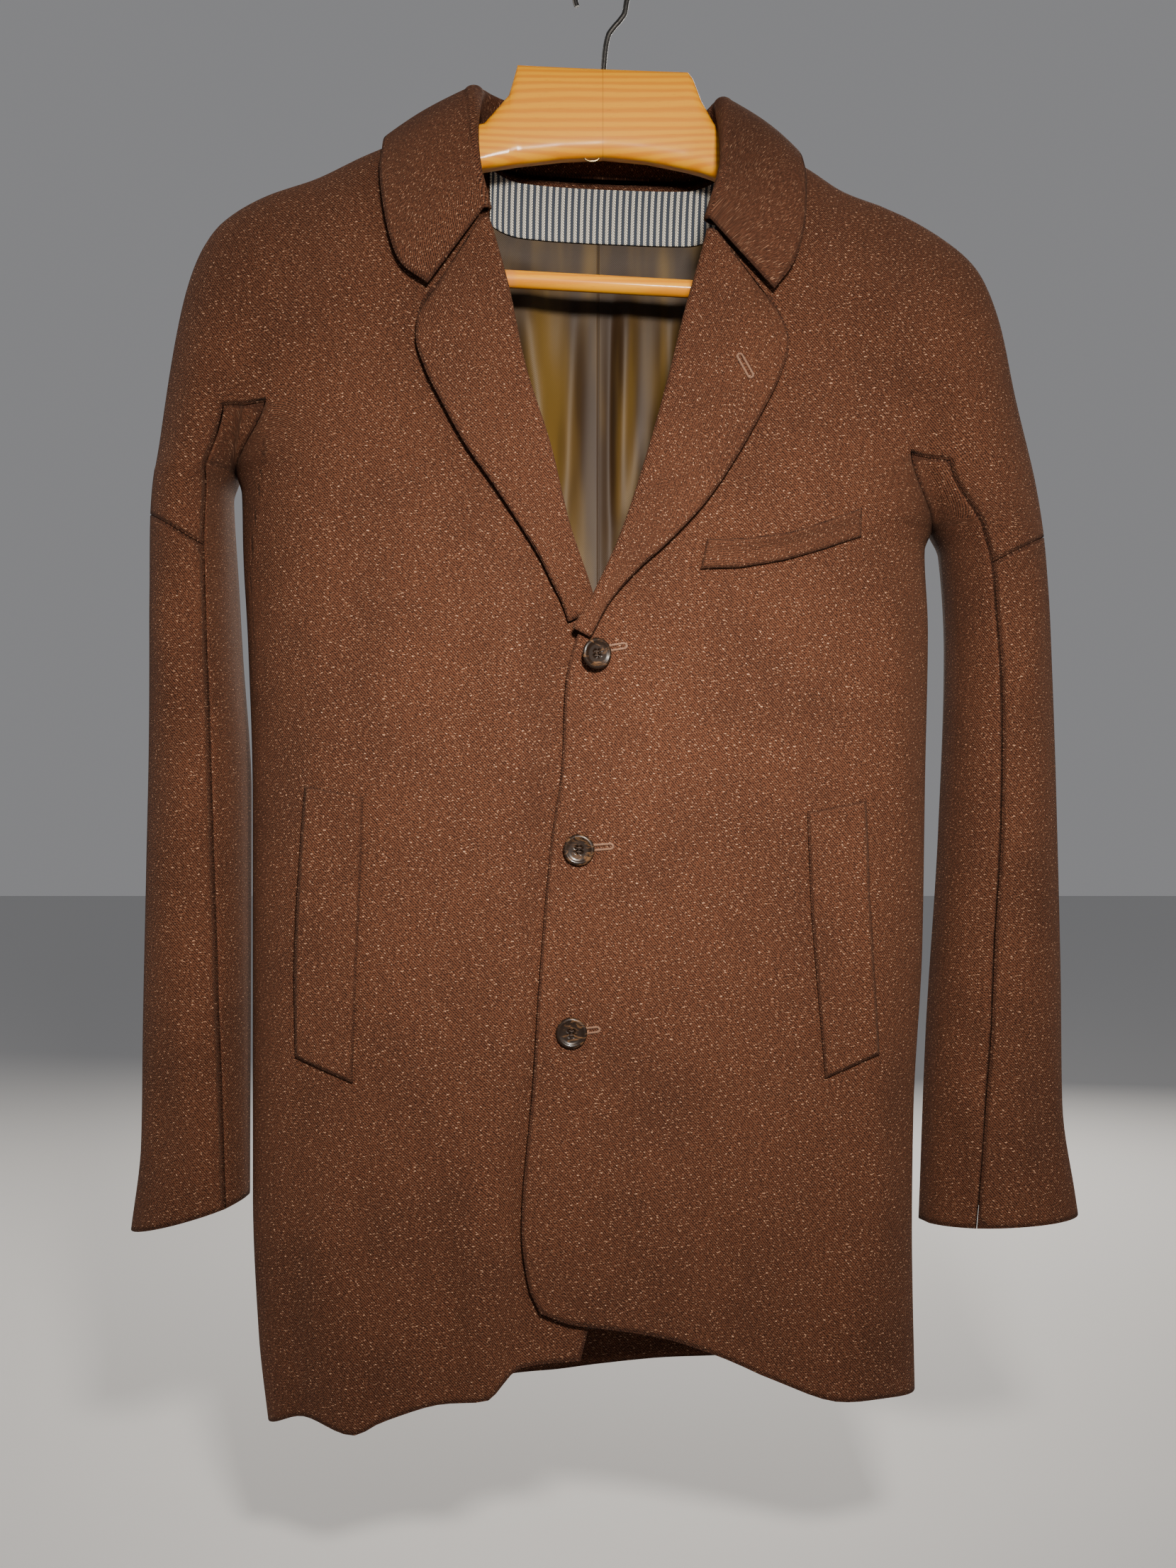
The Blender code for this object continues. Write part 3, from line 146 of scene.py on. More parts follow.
# First strip of each front, beside its inner edge: the part that dips under the other front on the left
FRONT_STRIP = {
    "left": table("z x", [(-102, -108), (-203, -106), (-346, -86), (-434, -60), (-503, -46), (-607, -56),
                          (-766, -66), (-958, -78)]),
    "right": table("z x", [(-114, 108), (-211, 92), (-352, 60), (-474, 4), (-683, -20), (-924, -22)])}

# How far the left front lies behind the common front surface under the other one
OVERLAP_DIP = table("z depth", [(-360, 0), (-410, 6), (-445, 12.5), (-480, 12.5), (-510, 9.5), (-560, 5),
                                (-640, 5.5), (-720, 9), (-860, 12), (-960, 8)])
DIP_WIDTH = 48 * MM

FRONT_HEM = {
    "left": table("x z", [(-16, -958), (-57, -962), (-80, -983), (-116, -988), (-150, -998), (-170, -1007),
                          (-205, -1000), (-234, -1011)]),
    "right": table("x z", [(-43, -924), (-21, -932), (3, -935), (43, -941), (85, -956), (113, -970),
                           (157, -985), (190, -987), (217, -990)])}
BACK_HEM = table("x z", [(-234, -1011), (-120, -1000), (-40, -991), (20, -982), (90, -980), (160, -986),
                         (217, -990)])
BACK_NECK = table("x z", [(-92, -102), (-84, -121), (-60, -131), (0, -135), (60, -137), (84, -131),
                          (92, -114)])
NECK_HALF = 92 * MM

# Half depth of the cloth in front of and behind its middle, by height
DEPTH = table("z front back sleeve", [
    (-88, 52, 54, 60), (-200, 60, 58, 62), (-300, 66, 58, 64), (-420, 68, 56, 62), (-560, 66, 52, 57),
    (-700, 62, 49, 50), (-820, 57, 46, 41), (-1010, 50, 44, 36)])
SLEEVE_BACKSET = {
    "left": table("z y", [(-352, 8), (-450, 20), (-580, 28), (-884, 26)]),
    "right": table("z y", [(-392, 6), (-500, 13), (-700, 18), (-884, 20)])}
SHOULDER_FORWARD = 16 * MM

# Largest folds: line from top to foot, half width and depth into the coat at the foot; a ridge is negative
FRONT_FOLDS = table("x_top z_top x_foot z_foot width depth", [
    (-38, -560, -70, -960, 18, -7), (-95, -620, -112, -1000, 20, 5), (-165, -760, -172, -1010, 20, -6),
    (-205, -700, -208, -1010, 15, 5), (30, -800, 62, -960, 22, -5), (110, -780, 120, -985, 24, 5),
    (165, -820, 168, -990, 20, -4)])
BACK_FOLDS = table("x_top z_top x_foot z_foot width depth", [
    (-120, -330, -150, -1010, 24, 6), (-60, -420, -62, -1000, 26, -6), (20, -260, 10, -990, 22, 5),
    (95, -380, 110, -990, 26, -6), (160, -360, 165, -990, 20, 5)])

# Row and column spacing of the skin. Each listed gap is parted into FINE_ROWS or FINE_COLUMNS steps.
FINE_ROWS = 6
FINE_COLUMNS = 4
UPPER_ROWS = (0, 0.012, 0.04, 0.082, 0.145, 0.24, 0.36, 0.5, 0.65, GUSSET_TOP, 0.9, 1)
BODY_ROWS = (0, 0.02, 0.07, 0.14, 0.22, 0.3, 0.38, 0.47, 0.56, 0.65, 0.74, 0.83, 0.92, 1)
DROP_ROWS = (0, 0.3, 1)
BACK_SHARES = (0, 0.3, 0.55, 0.75, 0.9, 1)
SLEEVE_ROWS = 9 * FINE_ROWS
STRIP_COLUMNS, CHEST_COLUMNS, GUSSET_COLUMNS, ARM_COLUMNS = (FINE_COLUMNS * n for n in (3, 7, 3, 4))

# Lapels from the gorge to the break: height on the roll line, outer edge, and radius of the roll
LAPEL = {
    "left": table("roll_z outer_x outer_z radius", [
        (-190, 114, -243, 4.4), (-206, 124, -259, 4.4), (-224, 125, -273, 4.4), (-246, 119, -293, 4.4),
        (-276, 108, -315, 4.4), (-308, 93, -342, 4.4), (-340, 75, -368, 4.4), (-372, 57, -395, 4.4),
        (-402, 43, -418, 4.4), (-422, 35, -434, 4.4), (-438, 28, -448, 4.4), (-453, 24, -460, 4.2)]),
    "right": table("roll_z outer_x outer_z radius", [
        (-198, 108, -246, 4.4), (-214, 118, -261, 4.4), (-231, 122, -277, 4.4), (-252, 116, -298, 4.4),
        (-280, 104, -322, 4.4), (-310, 87, -352, 4.4), (-340, 68, -380, 4.4), (-372, 43, -407, 4.4),
        (-404, 21, -427, 4.4), (-434, 3, -448, 4.4), (-456, -5, -463, 4.2), (-467, -9, -471, 4.0)])}
LAPEL_STAND = 3.2 * MM     # the outer edge stands this much further off the front than the roll
LAPEL_FULL = 60 * MM       # a lapel narrower than this stands off less
ROLL_GAP = 1.7 * MM

# Collar from one gorge round the back to the other: seam, fold and leaf edge, and in degrees the way it faces
COLLAR = table("base_x base_z fold_x fold_y fold_z leaf_x leaf_z", [
    (-84.7, -185, -80, -57, -184, -117, -237), (-88, -165, -84, -52, -160, -136, -222),
    (-90.5, -143, -87, -45, -132, -146, -190), (-92, -118, -88, -22, -98, -151, -150),
    (-92, -102, -88, 6, -80, -150, -119), (-90, -109, -84, 18, -79, -138, -124),
    (-84, -121, -76, 28, -80, -116, -134), (-45, -133, -44, 46, -84, -62, -156),
    (0, -135, 0, 50, -87, 0, -163), (45, -137, 44, 46, -90, 60, -162), (84, -131, 74, 28, -89, 106, -143),
    (90, -120, 78, 18, -88, 121, -134), (92, -114, 80, 6, -89, 133, -129),
    (89, -130, 80, -22, -109, 136, -156), (84.5, -152, 80, -45, -143, 134, -190),
    (80, -172, 76, -52, -167, 126, -221), (76.6, -193, 72, -57, -192, 112, -241)])
COLLAR["turn"] = np.array([
    -90, -92, -100, -130, -180, -202, -225, -255, -270,
    -285, -315, -338, -360, -410, -440, -448, -450])
LEAF_BULGE = 3 * MM
LEAF_OFF = 9 * MM          # leaf edge off the panel below it
LEAF_FRONT = -0.9 * MM     # a leaf edge that leans forward more than this lies on a front
LEAF_CLEAR = WALL + 2 * MM  # the whole leaf keeps at least this far off
COLLAR_RADIUS = 4.4 * MM
STAND_LEAST = COLLAR_RADIUS + ROLL_GAP + 0.6 * MM
BACK_TURN = (-360, -180)   # directions between which the collar is sewn to the back
SAMPLE_REACH = (60 * MM, 200 * MM)  # stretch of the skin that the leaf is kept off
SAMPLE_FALL = 160 * MM
SAMPLES = 50

BAND = {"drop": 3 * MM, "height": 38 * MM, "wall": 1.2 * MM, "gap": 4.2 * MM}
LINING = {"left": -175 * MM, "right": 165 * MM, "foot": -955 * MM, "below_shoulder": 66 * MM, "gap": 2 * MM,
          "loose": 5 * MM, "loose_fall": 60 * MM, "under_band": 6 * MM}
LINING_FOLDS = table("x_top z_top x_foot z_foot width depth", [
    (-52, -190, -48, -960, 15, 7), (-4, -200, -6, -960, 14, 6), (32, -185, 30, -960, 15, 8),
    (-110, -240, -118, -960, 20, 6), (95, -260, 100, -960, 20, 6)])

# Welts: rows across them give their two edges, x and z on each
WELTS = {
    "welt_chest": table("x0 z0 x1 z1", [(67.6, -404.6, 62.9, -425.3), (94, -404.6, 90, -424.5),
                                        (122, -401, 120, -419.5), (148, -392, 147, -411.5),
                                        (171, -383, 171, -402.7)]),
    "welt_hand_left": table("x0 z0 x1 z1", [(-200, -568, -160, -576), (-203, -630, -162, -636),
                                            (-206, -690, -165, -696), (-208, -752, -168, -768)]),
    "welt_hand_right": table("x0 z0 x1 z1", [(134, -586, 175, -578), (137, -653, 176, -640),
                                             (142, -710, 180, -695), (147, -765, 185, -750)])}
WELT_WALL = 2.2 * MM
WELT_OFF = 1.5 * MM

# Buttons: place on the overlapping front, and how far each is turned about the vertical
BUTTONS = {
    "button_top": (-6.2, -481.2, 24), "button_middle": (-17, -611.4, 0), "button_bottom": (-22.1, -733.6, 0)}
BUTTON_RADIUS = 10.5 * MM
BUTTON_SPAN = 4 * MM       # the front is tangent to the button over this much
HOLE_RADIUS = 1.1 * MM
HOLE_OFF = 1.9 * MM

# Hanger seen from the front: upper and lower edge; beyond the neck its upper edge follows the shoulder
BLOCK = table("x top bottom", [
    (-90, -110, -141), (-83, -108, -139.5), (-73.3, -96.7, -138), (-66, -88, -137), (-62.5, -76, -136.4),
    (-60, -67, -136), (-30, -68.3, -132.5), (0, -69.6, -131), (30, -70.8, -134), (58.5, -72, -140),
    (62, -77, -141), (68, -92.7, -142.6), (75.2, -106, -145), (83, -119, -148.6), (90, -118, -151)])
ARM_FOOT = table("x left right", [
    (90, -141, -151), (130, -156, -172), (181, -184, -204), (181.4, -222, -243), (212, -224, -244),
    (224, -214, -232)])
ARM_UNDER = 6 * MM       # arm's upper edge below the outline of the cloth
ARM_STATIONS = (90, 105, 130, 155, 181, 181.4, 200, 214, 224)
BLOCK_DEPTH = 10.5 * MM
ARM_END_DEPTH = 12 * MM
ARM_START, ARM_END = 90 * MM, 224 * MM
SQUARE = 0.48              # power that squares the section's corners; 1 leaves it round
ARM_TURN = 15 * MM         # the arms' upper and lower edges turn from squared to round over this
BAR = {"half_length": 180.6 * MM, "z": -218.4 * MM, "slope": 0.0557, "radius": 6.25 * MM}
WIRE = 1.9 * MM
HOOK_STEM = table("x z", [(-0.3, -69), (0.9, -55.3), (3.1, -44.5), (6.9, -38.9), (11.3, -33.8),
                          (14.5, -28.8)])
HOOK_LOOP = {"x": -2 * MM, "z": -16.5 * MM, "radius": 18.4 * MM, "start": -15, "end": 205}

# Marks on the cloth
SEAM_REACH = 30 * MM       # distances from a seam are kept up to this

# Creases in the cloth: line from end to end, half width and depth; a ridge is negative
FRONT_CREASES = table("x0 z0 x1 z1 width depth", [
    (-66, -395, -58, -600, 16, -8.8), (-58, -600, -66, -800, 15, -8), (-30, -520, -48, -720, 13, 4.8),
    (-118, -420, -96, -700, 22, 4), (-150, -330, -185, -560, 20, 4.8), (-178, -420, -205, -640, 14, -4),
    (-140, -640, -120, -900, 18, -4.8), (-118, -780, -100, -960, 12, 4.8), (-92, -820, -84, -985, 10, -5.6),
    (-165, -800, -160, -990, 12, 4.8), (-195, -840, -200, -1000, 10, -4.8), (28, -520, 14, -760, 18, -4),
    (70, -480, 88, -700, 24, 4), (118, -460, 108, -640, 20, -4), (60, -760, 78, -960, 16, 5.6),
    (32, -800, 40, -940, 14, -5.6), (102, -790, 96, -975, 13, -4.8), (142, -800, 150, -985, 14, 5.6),
    (184, -620, 190, -960, 12, -4), (172, -430, 150, -560, 15, 4.8), (196, -420, 206, -600, 12, -4.8),
    (150, -250, 205, -330, 17, 4.8), (170, -215, 214, -278, 13, -3.2), (-160, -240, -222, -318, 16, 4.8),
    (-150, -205, -214, -262, 13, -3.2), (236, -300, 232, -372, 8, 4), (-262, -290, -262, -345, 8, 4)])
BACK_CREASES = table("x0 z0 x1 z1 width depth", [
    (-60, -190, -120, -330, 24, 4.8), (62, -200, 118, -350, 24, 4.8), (-30, -400, -44, -780, 26, 4.8),
    (52, -420, 40, -820, 24, -4.8), (-150, -420, -132, -760, 22, -4.8), (140, -430, 150, -800, 22, 4.8),
    (-196, -470, -190, -860, 18, 4.8), (188, -470, 186, -880, 18, -4.8), (0, -700, 6, -980, 18, 4.8),
    (-96, -760, -104, -990, 16, 4.8), (98, -780, 96, -980, 16, -4.8)])
SLEEVE_CREASES = table("x0 z0 x1 z1 width depth", [
    (-300, -410, -284, -470, 11, 4), (-312, -430, -296, -520, 10, -3.2), (-272, -480, -300, -560, 12, 3.5),
    (-280, -560, -308, -640, 13, -3.5), (-306, -600, -276, -690, 12, 3.5), (-272, -700, -300, -790, 13, -3.8),
    (-300, -740, -312, -860, 10, 4.2), (-276, -770, -280, -870, 9, -4.2), (288, -405, 272, -470, 11, 3.8),
    (300, -430, 286, -520, 10, -3.2), (262, -500, 288, -580, 12, 3.5), (270, -590, 300, -650, 13, -3.5),
    (296, -620, 262, -700, 12, 3.5), (250, -700, 286, -790, 13, -3.8), (296, -740, 312, -850, 10, 4.2),
    (252, -770, 262, -870, 10, -4.2)])

# Seams that show on a panel but don't part it, as points from end to end; they show as painted seam shade and
# a groove in the bump
LEFT_SIDE_SEAM = table("x z", [(-229, -337), (-234, -358), (-237, -375), (-241, -399), (-243, -430),
                               (-240, -504)])
STITCHED_SEAMS = {"front_left": [LEFT_SIDE_SEAM]}

# Buttonholes on the overlapping front, from the button outwards, and the keyhole in the right lapel
BUTTONHOLES = {
    "top": (-4 * MM, -478.6 * MM, 14.5 * MM, -475.6 * MM),
    "middle": (-15.5 * MM, -610.8 * MM, 5.5 * MM, -609 * MM),
    "bottom": (-20.5 * MM, -733.4 * MM, -3.5 * MM, -731.4 * MM)}
KEYHOLE = (88.5 * MM, -283.5 * MM, 97 * MM, -299 * MM)
THREAD = 0.75 * MM         # radius of a buttonhole's bar of thread
THREAD_SIDES = 10
HOLE_HALF = 1.7 * MM
LOOP_STEPS = 60
LEAF_GRID = (240, 8, 90)   # stations, roll and leaf steps of the lapel that the keyhole is laid on

# How the meshes are worked out
WELD = 0.01 * MM           # points nearer than this become one
FIT_ROUNDS = 6             # rounds in which a sloping row and a table's line find each other
RIDGE_NEAR = 1 * MM        # a point this near below the shoulder's ridge, or above it, is put on the ridge
PIT_LEVEL = -370 * MM      # between the armpits: the cloth's lengths start from the row nearer to it
MEET_FALL = 60 * MM        # the step between two patches fades out over this much
POINT_BLOCK = 1000
MARK_STEPS = 90
WAVE = 0.35 * MM           # unevenness of the hanging cloth
CREASE_FADE = 0.8          # power of the half sine along a crease
WAVE_PHASES = {"front": 0.4, "back": 1.9}
WAVES = ((61, 13, 1, 1), (37, -23, 2.1, 0.7), (17, 47, 0.7, 0.5))  # its turns along x and z, phase and share
EDGE_MOST = 0.45           # a cut edge's rounding is at most this share of the wall
ROUND_ANGLES = (math.pi / 4, math.pi / 2)  # rings between a cloth edge's outer and inner side
COLLAR_GRID = (190, 12, 24)  # stations, steps over the fold, steps down the leaf
LAPEL_GRID = (110, 12, 30)
BAND_GRID = (10, 16)       # steps in each listed share, rows
LINING_GRID = (190, 150)
WELT_GRID = (70, 14)
SHARP = 40                 # edges of wood and wire sharper than this stay sharp, in degrees
BUTTON_ROUND = table("r h", [
    (0, 0), (4, 0), (7.5, 0), (8.6, 0.3), (9.6, 0.9), (10.2, 1.6), (10.5, 2.4), (10.3, 3.1), (9.9, 3.6),
    (9.3, 3.9), (8.7, 4), (8.1, 3.8), (7.4, 3.4), (6.4, 3.1), (4, 3), (0, 3)])
BUTTON_GRID = (70, 96)
HOLE_SINK = 2.0 * MM
HOLE_WALL = (0.7, 0.6)     # a hole's wall starts at this share of its radius and is this much wide
CROSS = {"steps": 14, "rise": 1.6 * THREAD, "radius": 0.6 * THREAD, "sides": 8}  # thread across a button
LINING_SEAM = -3.8 * MM    # where the seam down the lining lies, from side to side

# Lengths of the patterns: twill ribs, tape, and the wood's grain lines
WOOL_RIB = 1.9 * MM
LINING_RIB = 1.4 * MM
TAPE_STRIPE = 4.6 * MM
TAPE_TWIST = 1.9 * MM
WOOD_GRAIN = 5.5 * MM
BLOCK_JOINT = -0.8 * MM    # where the joint in the hanger's block lies, from side to side

# Pockets and hanger
GAPE = 4.5 * MM            # an open pocket edge stands off this much more in its middle
OPEN_EDGE = {"welt_chest": 0, "welt_hand_left": 0, "welt_hand_right": 1}  # edge of the mouth, across the welt
WELT_ROUND = 5 * MM        # a welt stands up in full this far inside its edges
WELT_EDGE = 0.55           # share of its height at its edges
WELT_LAYER = 0.9           # its own wall, as a share of its height
STAPLE = {"x": -8.4 * MM, "y": -5 * MM, "z": -131.5 * MM, "half": 5 * MM, "radius": 0.7 * MM, "sides": 10,
          "steps": 16}
WOOD_STEPS = 8             # steps in each listed stretch of the hanger's body
WOOD_SIDES = 64
BAR_GRID = (60, 40)
HOOK_GRID = (50, 90, 20)   # steps on the stem, steps on the loop, sides
LINING_CREASES = table("x0 z0 x1 z1 width depth", [
    (-60, -190, -40, -360, 10, 6), (-20, -200, -30, -420, 8, -4.5), (18, -190, 12, -380, 7, 6),
    (50, -190, 46, -400, 9, -6), (6, -200, 4, -460, 5, -3), (-44, -260, -52, -520, 9, 4.5),
    (34, -300, 26, -520, 9, 4.5)])

# Stage: each light's place, size, power over the key light's setting, and spread in degrees
CAMERA_PLACE = (-0.0111, -1.37, -0.5677)
SENSOR = 36.0
LIT_POINT = (0.0, 0.0, -0.56)
LIGHT_TINT = (1.0, 0.93, 0.84)
LIGHTS = (("key", (0.12, -1.35, -0.1), 0.16, 0.168, 54), ("fill", (1.5, -1.5, -0.1), 1.2, 0.2, 180),
          ("back", (0.4, 2.0, 0.3), 1.6, 1.5, 180), ("side", (-1.9, 0.3, 0.2), 1.4, 0.4, 180))
FLOOR_HALF = 9.0
FLOOR_COLOUR = (0.62, 0.62, 0.62, 1)
STUDIO_COLOUR, STUDIO_STRENGTH = (0.62, 0.62, 0.64, 1), 0.38


def curve(value, knots, heights):
    """Smooth monotone curve through a table's points, level beyond its ends."""
    order = np.argsort(knots)
    k, h = knots[order], heights[order]
    value = np.clip(value, k[0], k[-1])
    i = np.clip(np.searchsorted(k, value) - 1, 0, len(k) - 2)
    step, rise = np.diff(k), np.diff(h) / np.diff(k)
    product = rise[:-1] * rise[1:]
    total = np.where(product > 0, rise[:-1] + rise[1:], 1)
    slope = np.concatenate([rise[:1], np.where(product > 0, 2 * product / total, 0), rise[-1:]])
    u = (value - k[i]) / step[i]
    return (h[i] * (1 + 2 * u) * (1 - u) ** 2 + slope[i] * step[i] * u * (1 - u) ** 2
            + h[i + 1] * u * u * (3 - 2 * u) + slope[i + 1] * step[i] * u * u * (u - 1))


def at(listed, given, value, wanted):
    """A table's wanted column where its given column has a value."""
    return curve(value, listed[given], listed[wanted])


def unit(vectors):
    """Vectors of length one in the same directions."""
    return vectors / np.maximum(np.linalg.norm(vectors, axis=-1, keepdims=True), 1e-12)


def columns_of(listed, names):
    """The named columns of a table, one after the other."""
    return [listed[name] for name in names.split()]


def ease(value):
    """0 below 0, 1 above 1 and a smooth step between."""
    u = np.clip(value, 0, 1)
    return u * u * (3 - 2 * u)


def arch(q):
    """Quarter ellipse: height over the distance from its edge, both as fractions."""
    q = np.clip(q, 0, 1)
    return np.sqrt(q * (2 - q))


def edge_distance(side, x, z):
    """Distance inside the outline, from the fall below the shoulder and the way to the arm's edge."""
    fall = np.maximum(at(OUTLINE[side], "x", x, "z") - z, 0)
    reach = np.maximum(at(OUTLINE[side], "z", z, "x") - x, 0)
    span = np.maximum(np.hypot(fall, reach), 1e-9)
    return fall * reach / span, reach * reach / span ** 2


def upper_profile(side, x, z):
    """Depth fraction of the single sheet over body and arm."""
    distance, shoulder = edge_distance(side, x, z)
    return arch(distance / (ARM_ROUND + (SHOULDER_ROUND - ARM_ROUND) * shoulder))


def lobe_edge(listed, side, z):
    """Edge of the body or the sleeve: the crease above the armpit, the listed edge below it."""
    crease = at(CREASE[side], "z", z, "x")
    return np.where(z > ARMPIT[side][1], crease, at(listed[side], "z", z, "x"))


def softened(distance, side, z):
    """Distance from the crease with a rounded start, so the crease is a soft trough above the armpit."""
    soft = CREASE_SOFT * arch((z - ARMPIT[side][1]) / CREASE_RISE)
    return np.hypot(np.maximum(distance, 0), soft) - soft


def body_profile(side, x, z):
    """Depth fraction of the body tube, falling to its side seam."""
    return arch(softened(lobe_edge(BODY_SIDE, side, z) - x, side, z) / SIDE_ROUND)


def sleeve_profile(side, x, z):
    """Depth fraction of the sleeve, an ellipse between its inner and outer edge."""
    inner = lobe_edge(SLEEVE_INNER, side, z)
    outer = at(OUTLINE[side], "z", z, "x")
    half = (outer - inner) / 2
    from_inner = softened(x - inner, side, z)
    return arch(np.maximum(np.minimum(from_inner, outer - x), 0) / half)


def half_depth(side, x, z, face, part):
    """Depth of the skin before or behind its middle, for the upper, body or sleeve part."""
    body = curve(z, DEPTH["z"], DEPTH[face])
    arm = at(DEPTH, "z", z, "sleeve")
    pit_z = ARMPIT[side][1]
    if part == "body":
        return body * body_profile(side, x, z)
    if part == "sleeve":
        return arm * sleeve_profile(side, x, z)
    other = "left" if side == "right" else "right"
    share = 0.5 * (1 - ease(x / BLEND_HALF))
    whole = body * ((1 - share) * upper_profile(side, x, z) + share * upper_profile(other, x, z))
    lobes = np.where(x < lobe_edge(BODY_SIDE, side, z),
                     body * body_profile(side, x, z), arm * sleeve_profile(side, x, z))
    crease = 1 - arch((z - pit_z) / CREASE_RISE)
    return (1 - crease) * whole + crease * lobes


def middle(side, x, z, part):
    """Where the middle of the skin lies: shoulders bend forward, sleeves hang further back."""
    pit_x, pit_z = ARMPIT[side]
    backset = at(SLEEVE_BACKSET[side], "z", z, "y")
    low = ease((BACKSET_TOP - z) / BACKSET_FALL)
    forward = -SHOULDER_FORWARD * (x / FORWARD_REACH) ** 2 * (1 - low)
    shared = forward + low * backset * ease((x - pit_x + BACKSET_START) / BACKSET_SPAN)
    fade = ease(1 - (pit_z - z) / MID_FADE)
    if part == "body":
        return shared * fade
    if part == "sleeve":
        return shared * fade + backset * (1 - fade)
    return shared


def folds(listed, x, z):
    """Depth of the listed folds: a soft trough round each line that deepens towards its foot."""
    depth = np.zeros(np.broadcast(x, z).shape)
    for x0, z0, x1, z1, width, foot in zip(*columns_of(listed, "x_top z_top x_foot z_foot width depth")):
        run = np.clip((z0 - z) / (z0 - z1), 0, 1)
        across = (x - (x0 + (x1 - x0) * run)) / width
        depth += foot * np.exp(-across ** 2) * ease(run)
    return depth


def overlap_dip(x, z):
    """How far the left front dips behind the common surface near the other front's edge."""
    edge = at(FRONT_EDGE["right"], "z", z, "x")
    return at(OVERLAP_DIP, "z", z, "depth") * ease((x - edge + DIP_WIDTH) / DIP_WIDTH)


def refined(fractions, steps):
    """Fractions with each gap parted into equal steps."""
    fractions = np.asarray(fractions, float)
    count = len(fractions) - 1
    return np.interp(np.arange(count * steps + 1) / steps, np.arange(count + 1), fractions)


def creases(listed, x, z):
    """Depth of short creases: a bell across each line, rising and fading along it as a half sine."""
    depth = np.zeros(np.broadcast(x, z).shape)
    for x0, z0, x1, z1, width, most in zip(*columns_of(listed, "x0 z0 x1 z1 width depth")):
        run_x, run_z = x1 - x0, z1 - z0
        length = math.hypot(run_x, run_z)
        along = ((x - x0) * run_x + (z - z0) * run_z) / length ** 2
        across = ((x - x0) * run_z - (z - z0) * run_x) / length
        fade = np.sin(math.pi * np.clip(along, 0, 1)) ** CREASE_FADE
        depth += most * fade * np.exp(-(across / width) ** 2)
    return depth


def ripple(x, z, phase):
    """Soft unevenness of hanging cloth: three long waves across each other."""
    return WAVE * sum(share * np.sin(x * on_x + z * on_z + own * phase) for on_x, on_z, own, share in WAVES)


def skin_points(side, x, z, face, part, dip=True):
    """Points of the skin at distances x from the centre on one side and heights z."""
    depth = half_depth(side, x, z, face, part)
    across = SIDES[side] * x
    inside = depth / (depth + INSIDE_FADE)
    ahead = face == "front"
    listed = SLEEVE_CREASES if part == "sleeve" else FRONT_CREASES if ahead else BACK_CREASES
    fine = (creases(listed, across, z) + ripple(across, z, WAVE_PHASES[face])) * inside
    if ahead:
        y = middle(side, x, z, part) - depth + folds(FRONT_FOLDS, across, z) * inside + fine
        if side == "left" and dip:
            y = y + overlap_dip(across, z) * inside
    else:
        y = middle(side, x, z, part) + depth - folds(BACK_FOLDS, across, z) * inside - fine
    return np.stack([across + 0 * y, y, z + 0 * y], axis=-1)


def sheet_points(x, z, face):
    """Points of the common front or back surface at signed x, without the dip."""
    x, z = np.asarray(x, float), np.asarray(z, float)
    halves = []
    for side, sign in SIDES.items():
        high, low = (skin_points(side, sign * x, z, face, part, False) for part in ("upper", "body"))
        halves.append(np.where((z > ARMPIT[side][1])[..., None], high, low))
    return np.where((x > 0)[..., None], halves[1], halves[0])


def front_sheet(x, z):
    """Points of the common front surface, for what lies on it."""
    return sheet_points(x, z, "front")


def left_sheet(x, z):
    """Point of the left front's surface at signed x, with its dip."""
    points = front_sheet(x, z)
    return points + np.stack([0 * points[..., 1], overlap_dip(x, z), 0 * points[..., 1]], axis=-1)


def turned(count):
    """Fractions from 0 to 1, closer together towards 1, as equal angles of a quarter circle."""
    return np.sin(np.linspace(0, math.pi / 2, count + 1))


def spaced(count):
    """Fractions from 0 to 1 in equal steps."""
    return np.linspace(0, 1, count + 1)


def between(start, end, fractions):
    """Columns between two edges: start and end hold a value for each row."""
    return start[:, None] + (end - start)[:, None] * fractions[None, :]


def pit_row(side, x):
    """Height of the row through the armpits: the two sides differ, so it slopes between them."""
    level = (ARMPIT["left"][1] + ARMPIT["right"][1]) / 2
    return level + (ARMPIT[side][1] - level) * np.clip(x / PIT_SLOPE, -1, 1)


def fitted(side, listed, heights):
    """Distance of a table's line from the centre where sloping rows cross it, found in a few rounds.

    heights gives the rows' heights at a distance x.
    """
    x = SIDES[side] * listed["x"].mean()
    for _ in range(FIT_ROUNDS):
        x = SIDES[side] * at(listed, "z", heights(x), "x")
    return x


def first_columns(face, inner, strip):
    """Blocks of columns from the front edge, or from the centre of the back, to the first strip's end."""
    blocks = [between(inner, strip, spaced(STRIP_COLUMNS))[:, :-1]]
    if face == "back":
        blocks.insert(0, between(0 * inner, inner, refined(BACK_SHARES, FINE_COLUMNS))[:, :-1])
    return blocks


